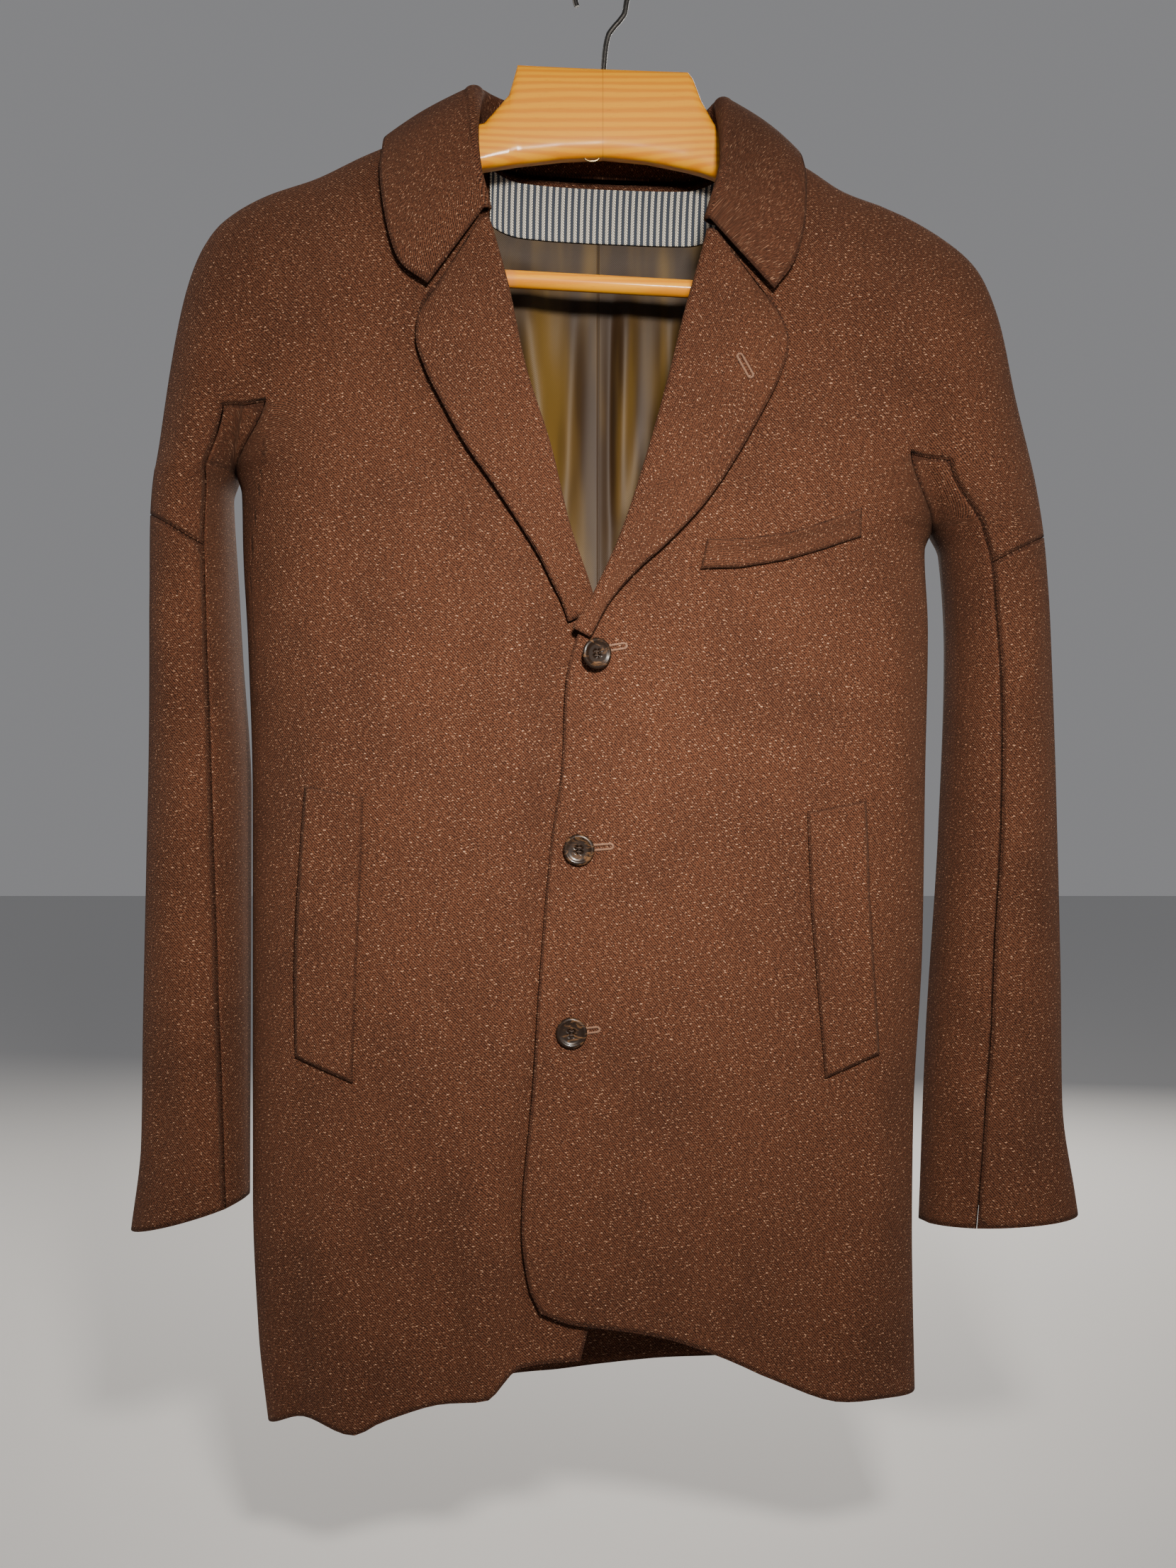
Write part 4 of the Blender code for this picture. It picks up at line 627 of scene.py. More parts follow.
def upper_columns(side, face):
    """x and z of the upper part's grid, and the columns where the gusset begins and ends."""
    rows = refined(UPPER_ROWS, FINE_ROWS)
    pit_z = ARMPIT[side][1]
    knots = np.array([0, GUSSET_TOP, 1])
    gusset_body = curve(rows, knots, GUSSET[side]["body"])
    gusset_sleeve = curve(rows, knots, GUSSET[side]["sleeve"])
    corner_z = at(OUTLINE[side], "x", CORNER_X, "z")
    outer = at(OUTLINE[side], "z", corner_z + (pit_z - corner_z) * rows, "x")
    outer[0] = CORNER_X
    sign = SIDES[side]
    top = FRONT_EDGE[side]["z"].max()
    inner, strip = (fitted(side, listed[side], lambda x: top + (pit_row(side, x) - top) * rows)
                    for listed in (FRONT_EDGE, FRONT_STRIP))
    if face == "back":
        inner, strip = inner[0] + 0 * rows, strip[0] + 0 * rows
    first = first_columns(face, inner, strip)
    crease_top = at(OUTLINE[side], "x", CREASE[side]["x"][0], "z")
    crease = at(CREASE[side], "z", crease_top + (pit_z - crease_top) * rows, "x")
    chest = between(strip, gusset_body, turned(CHEST_COLUMNS))[:, :-1]
    gusset = between(crease, gusset_sleeve, turned(GUSSET_COLUMNS))[:, :-1]
    arm = between(gusset_sleeve, outer, turned(ARM_COLUMNS))
    x = np.concatenate(first + [chest, gusset_body[:, None], gusset, arm], axis=1)
    top_z = at(OUTLINE[side], "x", x[0], "z")
    if face == "back":
        top_z = np.where(x[0] < NECK_HALF - 1e-6, at(BACK_NECK, "x", sign * x[0], "z"), top_z)
    z = top_z[None, :] + (pit_row(side, x) - top_z[None, :]) * rows[:, None]
    starts = sum(block.shape[1] for block in first) + CHEST_COLUMNS
    return x, z, starts, starts + 1 + GUSSET_COLUMNS


def body_columns(side, face):
    """x and z of the body's grid below the armpit."""
    rows = refined(BODY_ROWS, FINE_ROWS)
    pit_z = ARMPIT[side][1]
    sign = SIDES[side]
    side_hem = at(BACK_HEM, "x", sign * HEM_SIDE, "z")
    side_x = at(BODY_SIDE[side], "z", pit_z + (side_hem - pit_z) * rows, "x")
    if face == "front":
        hem = FRONT_HEM[side]

        def heights(x_now):
            start = pit_row(side, x_now)
            return start + (at(hem, "x", sign * x_now, "z") - start) * rows

        inner, strip = (fitted(side, listed[side], heights) for listed in (FRONT_EDGE, FRONT_STRIP))
    else:
        hem = BACK_HEM
        inner, strip = (sign * listed[side]["x"][0] + 0 * rows for listed in (FRONT_EDGE, FRONT_STRIP))
    x = np.concatenate(first_columns(face, inner, strip)
                       + [between(strip, side_x, turned(CHEST_COLUMNS))], axis=1)
    hem_z = at(hem, "x", sign * x[-1], "z")
    hem_z[-1] = side_hem
    start_z = pit_row(side, x)
    return x, start_z + (hem_z[None, :] - start_z) * rows[:, None]


def sleeve_columns(side):
    """x and z of one half of the sleeve from the armpit to the cuff: inner piece, then outer piece."""
    inner_x, pit_z = ARMPIT[side]
    seam_z, outer_z = DROP_SEAM[side]
    cuff_inner, cuff_outer = CUFF[side]

    def heights(x_now):
        share = np.clip((x_now - inner_x) / SLEEVE_SPAN, 0, 1)
        drop = seam_z + (outer_z - seam_z) * share
        cuff = cuff_inner + (cuff_outer - cuff_inner) * share
        upper = pit_z + (drop - pit_z) * refined(DROP_ROWS, FINE_ROWS)[:, None]
        lower = drop + (cuff - drop) * spaced(SLEEVE_ROWS)[1:, None]
        return np.concatenate([upper, lower])

    shares = np.concatenate([turned(GUSSET_COLUMNS)[:-1] * UNDER_SHARE,
                             UNDER_SHARE + turned(ARM_COLUMNS) * (1 - UNDER_SHARE)])
    z = heights(inner_x + SLEEVE_SPAN * shares)
    inner = at(SLEEVE_INNER[side], "z", z[:, 0], "x")
    seam = at(SLEEVE_SEAM[side], "z", z[:, GUSSET_COLUMNS], "x")
    outer = at(OUTLINE[side], "z", z[:, -1], "x")
    under = between(inner, seam, turned(GUSSET_COLUMNS))
    top = between(seam, outer, turned(ARM_COLUMNS))
    return under, z[:, :GUSSET_COLUMNS + 1], top, z[:, GUSSET_COLUMNS:]


def met(grid, row):
    """Grid whose first row is moved onto a given one; the move fades out over the rows below."""
    fall = np.linalg.norm(grid - grid[0], axis=2, keepdims=True)
    return grid + (row - grid[0]) * (1 - ease(fall / MEET_FALL))


def skin_patches():
    """Every rectangular patch of the skin by piece name: grids of points, facing out."""
    pieces = {}
    top_row = UPPER_ROWS.index(GUSSET_TOP) * FINE_ROWS
    drop_row = (len(DROP_ROWS) - 1) * FINE_ROWS
    for side, sign in SIDES.items():
        for face in ("front", "back"):
            panel = "front_" + side if face == "front" else "back"
            x, z, a, b = upper_columns(side, face)
            upper = skin_points(side, x, z, face, "upper")
            body = met(skin_points(side, *body_columns(side, face), face, "body"), upper[-1, :a + 1])
            under_x, under_z, top_x, top_z = sleeve_columns(side)
            under = met(skin_points(side, under_x, under_z, face, "sleeve"), upper[-1, a + 1:b + 1])
            top = met(skin_points(side, top_x, top_z, face, "sleeve"), upper[-1, b:])
            for name, grid in (
                    (panel, upper[:top_row + 1]), (panel, upper[top_row:, :a + 1]),
                    (panel, upper[top_row:, b:]), ("sleeve_under_" + side, upper[top_row:, a:b + 1]),
                    (panel, body), ("sleeve_under_" + side, under), (panel, top[:drop_row + 1]),
                    ("sleeve_top_" + side, top[drop_row:])):
                out = (sign > 0) == (face == "front")
                pieces.setdefault(name, []).append(grid if out else grid[:, ::-1])
    return pieces


def quads_of(patches):
    """All points of some patches and the corner numbers of their faces."""
    points, faces, start = [], [], 0
    for grid in patches:
        rows, columns = grid.shape[:2]
        number = start + np.arange(rows * columns).reshape(rows, columns)
        corners = (number[:-1, :-1], number[1:, :-1], number[1:, 1:], number[:-1, 1:])
        faces.append(np.stack(corners, axis=-1).reshape(-1, 4))
        points.append(grid.reshape(-1, 3))
        start += rows * columns
    return np.concatenate(points), np.concatenate(faces)


def keys_of(points):
    """Whole numbers that are the same for points that coincide."""
    return np.round(points / WELD).astype(np.int64)


def welded(patches):
    """Points and faces of some grids as one surface, where points that coincide become one.

    Also gives the grid points that were kept, and the faces as numbers of grid points.
    """
    points, faces = quads_of(patches)
    first, number = np.unique(keys_of(points), axis=0, return_index=True, return_inverse=True)[1:]
    return points[first], number.reshape(-1)[faces], first, faces


def normals_of(points, faces):
    """Outward direction at each point: the sum of the faces around it."""
    corners = points[faces]
    facing = np.cross(corners[:, 2] - corners[:, 0], corners[:, 3] - corners[:, 1])
    normal = np.zeros_like(points)
    for corner in range(4):
        np.add.at(normal, faces[:, corner], facing)
    return unit(normal)


def grid_normals(grid):
    """Outward directions on a grid, as a grid."""
    return normals_of(*quads_of([grid])).reshape(grid.shape)


def rim_edges(faces):
    """Edges that only one face has, in that face's direction."""
    edges = np.concatenate([faces[:, [k, (k + 1) % 4]] for k in range(4)])
    known = {(a, b) for a, b in edges.tolist()}
    return np.array([(a, b) for a, b in edges.tolist() if (b, a) not in known and a != b])


def pulled_back(points, normals, edges, distance):
    """Points of the rim moved inwards along the surface, square to the rim."""
    run = unit(points[edges[:, 1]] - points[edges[:, 0]])
    inwards = np.zeros_like(points)
    for end in range(2):
        np.add.at(inwards, edges[:, end], unit(np.cross(normals[edges[:, end]], run)))
    length = np.maximum((inwards ** 2).sum(axis=1, keepdims=True) / 2, 0.5)
    return points + inwards / length * distance


def armpit_distance(points):
    """Distance of each point from the nearer armpit."""
    pits = [skin_points(side, np.array(x), np.array(z), "front", "upper") for side, (x, z) in ARMPIT.items()]
    return np.minimum(*(np.linalg.norm(points - pit, axis=1) for pit in pits))[:, None]


def lapel_grid(side, stations, roll_steps, leaf_steps):
    """Visible face of a lapel: round the roll from the front's inside, then out to its edge."""
    listed, sign = LAPEL[side], SIDES[side]
    place = np.linspace(0, len(listed["roll_z"]) - 1, stations)
    knots = np.arange(len(listed["roll_z"]))
    roll_z, outer_x, outer_z, radius = (
        curve(place, knots, column) for column in columns_of(listed, "roll_z outer_x outer_z radius"))
    roll_x = at(FRONT_EDGE[side], "z", roll_z, "x")
    sheet = left_sheet if side == "left" else front_sheet
    run = unit(np.stack([np.gradient(roll_x), np.gradient(roll_z)], axis=-1))
    inward = np.stack([run[:, 1], -run[:, 0]], axis=-1) * sign
    base_y = sheet(roll_x, roll_z)[:, 1]
    columns = []
    for angle in np.linspace(0, math.pi, roll_steps + 1):
        flat = np.stack([roll_x, roll_z], axis=-1) + inward * (ROLL_GAP + radius * math.sin(angle))[:, None]
        y = base_y + WALL - radius * (1 - math.cos(angle))
        columns.append(np.stack([flat[:, 0], y, flat[:, 1]], axis=-1))
    width = np.hypot(sign * outer_x - roll_x, outer_z - roll_z)
    for part in spaced(leaf_steps)[1:]:
        x = roll_x + (sign * outer_x - roll_x) * part
        z = roll_z + (outer_z - roll_z) * part
        stand = 2 * radius - WALL + LAPEL_STAND * part * np.clip(width / LAPEL_FULL, 0, 1)
        columns.append(np.stack([x, sheet(x, z)[:, 1] - stand, z], axis=-1))
    grid = np.stack(columns, axis=1)
    return grid if sign > 0 else grid[:, ::-1]


def panel_point(x, z, face):
    """Point of the front or back sheet, or of the ridge between them, at signed x."""
    side = "left" if x < 0 else "right"
    ridge = at(OUTLINE[side], "x", abs(x), "z")
    if z >= ridge - RIDGE_NEAR:
        return np.array([x, float(middle(side, abs(x), np.array(z), "upper")), z])
    return skin_points(side, np.array(abs(x)), np.array(z), face, "upper", False)


def neck_samples():
    """Points of the skin round the neck and shoulders with their outward directions."""
    grids = []
    for side, sign in SIDES.items():
        x = np.linspace(*SAMPLE_REACH, SAMPLES)[None, :]
        ridge = at(OUTLINE[side], "x", x, "z")
        z = ridge - SAMPLE_FALL * spaced(SAMPLES - 1)[:, None] ** 2
        for face in ("front", "back"):
            grid = skin_points(side, x + 0 * z, z, face, "upper", False)
            grids.append(grid if (sign > 0) == (face == "front") else grid[:, ::-1])
    points, faces = quads_of(grids)
    return points, normals_of(points, faces)


def lifted(grid, off):
    """Grid whose points keep at least a distance outside the skin round the neck."""
    skin, normals = neck_samples()
    flat = grid.reshape(-1, 3)
    near = np.array([((skin - p) ** 2).sum(axis=1).argmin() for p in flat])
    away = ((flat - skin[near]) * normals[near]).sum(axis=1, keepdims=True)
    return (flat + normals[near] * np.maximum(off - away, 0)).reshape(grid.shape)


def collar_grid(stations, roll_steps, leaf_steps):
    """Visible face of the collar round the neck: up the stand, over the fold, down the leaf."""
    knots = np.arange(len(COLLAR["turn"]))
    places = np.linspace(0, knots[-1], stations)
    leaves = []
    for x, z, turn in zip(*columns_of(COLLAR, "leaf_x leaf_z turn")):
        away = LEAF_OFF * math.sin(math.radians(turn))
        leaves.append(panel_point(x, z, "front" if away < LEAF_FRONT else "back") + [0, away, 0])
    leaves = np.stack([curve(places, knots, column) for column in np.array(leaves).T], axis=-1)
    sections = []
    for k, place in enumerate(places):
        row = {name: float(curve(place, knots, column)) for name, column in COLLAR.items()}
        angle = math.radians(row["turn"])
        way = np.array([math.cos(angle), math.sin(angle), 0])
        if BACK_TURN[0] < row["turn"] < BACK_TURN[1]:
            base = panel_point(row["base_x"], float(at(BACK_NECK, "x", row["base_x"], "z")), "back")
        else:
            edge = FRONT_EDGE["left" if row["base_x"] < 0 else "right"]
            base = panel_point(float(at(edge, "z", row["base_z"], "x")), row["base_z"], "front")
        up = np.array([row["fold_x"], row["fold_y"], row["fold_z"]]) - base
        length = max(np.linalg.norm(up), STAND_LEAST)
        up = unit(up)
        out = unit(way - up * (way @ up))
        foot = base - out * WALL + up * ROLL_GAP
        neck = base - out * WALL + up * (length - COLLAR_RADIUS)
        points = [foot, (foot + neck) / 2]
        for step in np.linspace(0, math.pi, roll_steps + 1):
            points.append(neck + COLLAR_RADIUS * (out * (1 - math.cos(step)) + up * math.sin(step)))
        start = points[-1]
        for part in spaced(leaf_steps)[1:]:
            points.append(start + (leaves[k] - start) * part + out * LEAF_BULGE * math.sin(math.pi * part))
        sections.append(points)
    grid = np.array(sections)
    grid[:, -leaf_steps:] = lifted(grid[:, -leaf_steps:], LEAF_CLEAR)
    return grid[:, ::-1]


def back_grid(x, z):
    """Grid on the back sheet at signed x, facing out."""
    return sheet_points(x, z, "back")[:, ::-1]


def run_from(grid, axis, last):
    """Lengths along an axis of a grid, added up from its first or last points; negative before them."""
    steps = np.linalg.norm(np.diff(grid, axis=axis), axis=2)
    start = np.zeros((grid.shape[0], 1) if axis else (1, grid.shape[1]))
    lengths = np.concatenate([start, np.cumsum(steps, axis=axis)], axis=axis)
    return lengths - (np.take(lengths, [-1], axis=axis) if last else 0)


def cloth_lengths(grid, hung):
    """Each point's place in the flat cloth: along its row and its column, from where the grid meets the next.

    Across starts at the column nearer to the centre, down at the row nearer to the armpits, both at the
    points' own x and z, so that the grain runs on from patch to patch and hangs straight. A piece that is
    turned round the neck isn't hung: its lengths start at nought.
    """
    if not hung:
        return np.stack([run_from(grid, 1, False), run_from(grid, 0, False)], axis=-1).reshape(-1, 2)
    right = np.abs(grid[:, 0, 0]).mean() > np.abs(grid[:, -1, 0]).mean()
    below = abs(grid[0, :, 2].mean() - PIT_LEVEL) > abs(grid[-1, :, 2].mean() - PIT_LEVEL)
    way = 1 if grid[:, -1, 0].mean() > grid[:, 0, 0].mean() else -1
    across = grid[:, [-1 if right else 0], 0] + way * run_from(grid, 1, right)
    down = run_from(grid, 0, below) - grid[[-1 if below else 0], :, 2]
    return np.stack([across, down], axis=-1).reshape(-1, 2)


def distance_to(points, marks):
    """Distance of each point from the nearest mark, worked out a block of points at a time."""
    nearest = []
    for start in range(0, len(points), POINT_BLOCK):
        part = points[start:start + POINT_BLOCK]
        nearest.append(np.linalg.norm(part[:, None] - marks[None], axis=2).min(axis=1))
    return np.minimum(np.concatenate(nearest), SEAM_REACH)


def shown(name, points, faces, finish, lengths=None, seam=None, sharp=None):
    """Object with a smooth mesh. A corner that repeats the one before it is left out of its face.

    lengths holds each corner's place in the cloth, kept as a UV map. seam is kept as an attribute of the
    points.
    """
    keep = faces != np.roll(faces, 1, axis=1)
    keep[keep.sum(axis=1) < 3] = False
    sizes = keep.sum(axis=1)
    sizes = sizes[sizes > 0]
    label = name + "_look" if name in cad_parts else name
    mesh = bpy.data.meshes.new(label)
    mesh.vertices.add(len(points))
    mesh.vertices.foreach_set("co", points.ravel())
    mesh.loops.add(int(sizes.sum()))
    mesh.loops.foreach_set("vertex_index", faces[keep].astype(np.int32))
    mesh.polygons.add(len(sizes))
    mesh.polygons.foreach_set("loop_start", (np.cumsum(sizes) - sizes).astype(np.int32))
    mesh.update(calc_edges=True)
    if lengths is not None:
        mesh.uv_layers.new(name="cloth").data.foreach_set("uv", lengths[keep].ravel())
    if seam is not None:
        mesh.attributes.new("seam", "FLOAT", "POINT").data.foreach_set("value", seam.ravel())
    mesh.shade_smooth()
    if sharp:
        mesh.set_sharp_from_angle(angle=math.radians(sharp))
    mesh.materials.append(finish)
    made = linked(bpy.context.scene, label, mesh)
    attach(made, "root")
    return made


def mark_points(name):
    """Points along the stitched seams that lie on a panel, on its sheet."""
    marks = []
    for line in STITCHED_SEAMS.get(name, ()):
        place = np.linspace(0, len(line["x"]) - 1, MARK_STEPS)
        x, z = (np.interp(place, np.arange(len(line["x"])), line[n]) for n in "xz")
        marks.append(front_sheet(x, z))
    return marks


def cloth_piece(name, patches, wall, finish, look, normals=None, hung=True):
    """Closed wall behind outer grids, its cut edges rounded.

    The outer points are moved in by the wall for the inner ones. Between the two rims run rings of points at
    angle a: rim + out * r * sin(a) - normal * r * (1 - cos(a)), and the same from the inner side.
    """
    points, faces, kept, corners = welded(patches)
    lengths = np.concatenate([cloth_lengths(grid, hung) for grid in patches])
    own = normals_of(points, faces)
    edges = rim_edges(faces)
    inward, thick = own, np.full((len(points), 1), wall)
    if normals is not None:
        far = armpit_distance(points)
        inward = np.where(far < PIT_OWN, own, normals(points))
        thick = wall * (PIT_THIN + (1 - PIT_THIN) * ease(far / PIT_REACH))
    radius = np.minimum(look.edge_round, EDGE_MOST * thick)
    outer = pulled_back(points, own, edges, SEAM + radius)
    inner = outer - inward * thick
    seam = distance_to(points, np.concatenate([points[edges[:, 0]]] + mark_points(name)))
    rim = np.unique(edges)
    out = (points - pulled_back(points, own, edges, 1.0))[rim]
    rings = []
    for base, way, angles in ((outer, -inward, ROUND_ANGLES), (inner, inward, ROUND_ANGLES[::-1])):
        for angle in angles:
            step = out * math.sin(angle) + way[rim] * (1 - math.cos(angle))
            rings.append(base[rim] + step * radius[rim])
    count, place = len(points), np.zeros(len(points), np.int64)
    place[rim] = np.arange(len(rim))
    number = [edges] + [2 * count + k * len(rim) + place[edges] for k in range(len(rings))] + [edges + count]
    strips = [np.stack([near[:, 1], near[:, 0], after[:, 0], after[:, 1]], axis=-1)
              for near, after in zip(number, number[1:])]
    rim_lengths = np.tile(lengths[kept][edges[:, [1, 0, 0, 1]]], (len(strips), 1, 1))
    turned_over = [0, 3, 2, 1]
    return shown(
        name, np.concatenate([outer, inner] + rings),
        np.concatenate([faces, faces[:, turned_over] + count] + strips), finish,
        np.concatenate([lengths[corners], lengths[corners][:, turned_over], rim_lengths]),
        np.concatenate([seam, seam, np.zeros(len(rings) * len(rim))]))


def build_panels(look, finish):
    """Fronts, back and sleeves: the pieces share the skin's normals, so their walls meet at the seams."""
    pieces = skin_patches()
    shared, joined = welded([grid for listed in pieces.values() for grid in listed])[:2]
    directions = normals_of(shared, joined)
    known = {tuple(key): number for number, key in enumerate(keys_of(shared).tolist())}

    def shared_normals(points):
        return directions[[known[tuple(key)] for key in keys_of(points).tolist()]]

    return {name: cloth_piece(name, listed, look.wall, finish, look, shared_normals)
            for name, listed in pieces.items()}


def outward(points, faces):
    """Faces turned over as a whole if they enclose a negative volume."""
    corner = points[faces]
    volume = sum((corner[:, 0] * np.cross(corner[:, k], corner[:, k + 1])).sum() for k in (1, 2))
    return faces if volume > 0 else faces[:, ::-1]


def ringed(rings, closed=False):
    """Points and faces of a body through rings of points, with a fan on each end unless it is closed."""
    count, sides = rings.shape[:2]
    ring = np.arange(count if closed else count - 1)[:, None]
    k = np.arange(sides)
    after = (k + 1) % sides
    low, high = ring * sides, (ring + 1) % count * sides
    faces = [np.stack([low + k, low + after, high + after, high + k], axis=-1).reshape(-1, 4)]
    points = [rings.reshape(-1, 3)]
    if not closed:
        centre, end = count * sides + 0 * k, (count - 1) * sides
        points.append(np.array([rings[0].mean(axis=0), rings[-1].mean(axis=0)]))
        faces += [np.stack([centre, after, k, k], axis=-1),
                  np.stack([centre + 1, end + k, end + after, end + after], axis=-1)]
    points = np.concatenate(points)
    return points, outward(points, np.concatenate(faces))


def tube(path, radius, sides, closed=False):
    """Round rod carried along a flat path, its rings square to the path."""
    run = unit(np.roll(path, -1, axis=0) - np.roll(path, 1, axis=0) if closed else np.gradient(path, axis=0))
    depth = np.linalg.svd(path - path.mean(axis=0))[2][2]
    across = unit(np.cross(run, depth))[:, None]
    up = np.cross(across, run[:, None])
    angle = np.linspace(0, 2 * math.pi, sides, endpoint=False)[None, :, None]
    return ringed(path[:, None] + radius * (np.cos(angle) * across + np.sin(angle) * up), closed)


def together(bodies):
    """Points and faces of several bodies as one."""
    points, faces, start = [], [], 0
    for own_points, own_faces in bodies:
        points.append(own_points)
        faces.append(own_faces + start)
        start += len(own_points)
    return np.concatenate(points), np.concatenate(faces)


def stadium(x0, z0, x1, z1):
    """Loop round a slot, in x and z: two straight sides and two half circles."""
    length = math.hypot(x1 - x0, z1 - z0)
    angle = np.linspace(0, 2 * math.pi, LOOP_STEPS, endpoint=False)
    along = HOLE_HALF * np.cos(angle) + np.where(np.cos(angle) > 0, length - HOLE_HALF, HOLE_HALF)
    across = HOLE_HALF * np.sin(angle)
    run_x, run_z = (x1 - x0) / length, (z1 - z0) / length
    return x0 + along * run_x - across * run_z, z0 + along * run_z + across * run_x


def build_buttonholes(finish):
    """Worked buttonholes: a bar of thread round each slot, on the front and on the right lapel."""
    loops = {}
    for name, slot in BUTTONHOLES.items():
        loops[name] = front_sheet(*stadium(*slot))
    leaf = lapel_grid("right", *LEAF_GRID)[:, LEAF_GRID[1] + 1:].reshape(-1, 3)
    x, z = stadium(*KEYHOLE)
    near = ((leaf[None, :, 0] - x[:, None]) ** 2 + (leaf[None, :, 2] - z[:, None]) ** 2).argmin(axis=1)
    loops["lapel"] = np.stack([x, leaf[near, 1], z], axis=-1)
    for name, loop in loops.items():
        body = tube(loop - [0, THREAD / 2, 0], THREAD, THREAD_SIDES, True)
        shown("buttonhole_" + name, *body, finish)


def button_frame(name):
    """Centre and three directions of a button, as its solid stands on the front."""
    x, z, turn = BUTTONS[name]
    x, z, span, angle = x * MM, z * MM, BUTTON_SPAN, math.radians(turn)
    around = front_sheet([[x, x + span], [x, x + span]], [[z, z], [z - span, z - span]])
    normal = unit(np.cross(around[1, 0] - around[0, 0], around[0, 1] - around[0, 0]))
    centre = around[0, 0] + normal * (CLEAR + BUTTON_RADIUS * math.sin(abs(angle)))
    facing = np.array([normal[0] * math.cos(angle) - normal[1] * math.sin(angle),
                       normal[0] * math.sin(angle) + normal[1] * math.cos(angle), normal[2]])
    side = unit(np.cross([0, 0, 1.0], facing))
    return centre, np.stack([side, np.cross(facing, side), facing])


def build_buttons(horn, thread):
    """Turned buttons: a profile swept round, with four dips for the holes and thread across them."""
    angles = math.pi * (0.25 + 0.5 * np.arange(4))
    spots = HOLE_OFF * np.stack([np.cos(angles), np.sin(angles)], axis=-1)
    knots = np.arange(len(BUTTON_ROUND["r"]))
    step = np.linspace(0, knots[-1], BUTTON_GRID[0] + 2)[1:-1]
    r, h = (np.interp(step, knots, column)[:, None] for column in columns_of(BUTTON_ROUND, "r h"))
    angle = np.linspace(0, 2 * math.pi, BUTTON_GRID[1], endpoint=False)[None, :]
    x, y, h = r * np.cos(angle), r * np.sin(angle), h + 0 * angle
    top = (step > np.argmax(BUTTON_ROUND["r"]))[:, None]
    for spot_x, spot_y in spots:
        near = np.hypot(x - spot_x, y - spot_y) / HOLE_RADIUS
        h = h - np.where(top, HOLE_SINK * (1 - ease((near - HOLE_WALL[0]) / HOLE_WALL[1])), 0)
    rings = np.stack([x, y, h], axis=-1)
    t = np.linspace(0, 1, CROSS["steps"])[:, None]
    rise = BUTTON_ROUND["h"][-1] - THREAD + CROSS["rise"] * np.sin(math.pi * t)
    crossings = [np.hstack([spots[a] + (spots[b] - spots[a]) * t, rise]) for a, b in ((0, 1), (3, 2))]
    for name in BUTTONS:
        centre, axes = button_frame(name)
        button = shown(name, *ringed(centre + rings @ axes), horn)
        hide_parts(name)
        sewn = together([tube(centre + path @ axes, CROSS["radius"], CROSS["sides"]) for path in crossings])
        shown(name + "_thread", *sewn, thread)


def build_collar(look, finish):
    """Collar and lapels from their visible faces."""
    grids = {"collar": collar_grid(*COLLAR_GRID)}
    grids.update({"lapel_" + side: lapel_grid(side, *LAPEL_GRID) for side in SIDES})
    return {name: cloth_piece(name, [grid], look.wall, finish, look, hung=name != "collar")
            for name, grid in grids.items()}


def build_inside(tape, lining, look):
    """Striped tape at the back neck and the back's lining; their grids face out, as the back's does."""
    shares = refined(BACK_SHARES[:-1], BAND_GRID[0]) * NECK_HALF
    x = np.concatenate([-shares[::-1], shares[1:]])[None, :]
    z = at(BACK_NECK, "x", x, "z") - BAND["drop"] - BAND["height"] * spaced(BAND_GRID[1])[:, None]
    grid = back_grid(x + 0 * z, z)
    grid = grid - grid_normals(grid) * (WALL + BAND["gap"])
    band = cloth_piece("neck_band", [grid], BAND["wall"], tape, look)
    x = np.linspace(LINING["left"], LINING["right"], LINING_GRID[0])[None, :]
    ridge = np.where(x < 0, at(OUTLINE["left"], "x", -x, "z"), at(OUTLINE["right"], "x", x, "z"))
    band_foot = at(BACK_NECK, "x", x, "z") - BAND["drop"] - BAND["height"]
    top = np.minimum(band_foot + LINING["under_band"], ridge - LINING["below_shoulder"])
    z = top + (LINING["foot"] - top) * spaced(LINING_GRID[1])[:, None]
    fall = ease((top - z - 2 * LINING["under_band"]) / LINING["loose_fall"])
    depth = WALL + LINING["gap"] + LINING["loose"] * fall + folds(LINING_FOLDS, x + 0 * z, z)
    depth = depth + creases(LINING_CREASES, x + 0 * z, z) * fall
    grid = back_grid(x + 0 * z, z)
    grid = grid - grid_normals(grid) * depth[:, ::-1, None]
    back = cloth_piece("lining_back", [grid], LINING_WALL, lining, look)
    return {"neck_band": band, "lining_back": back}


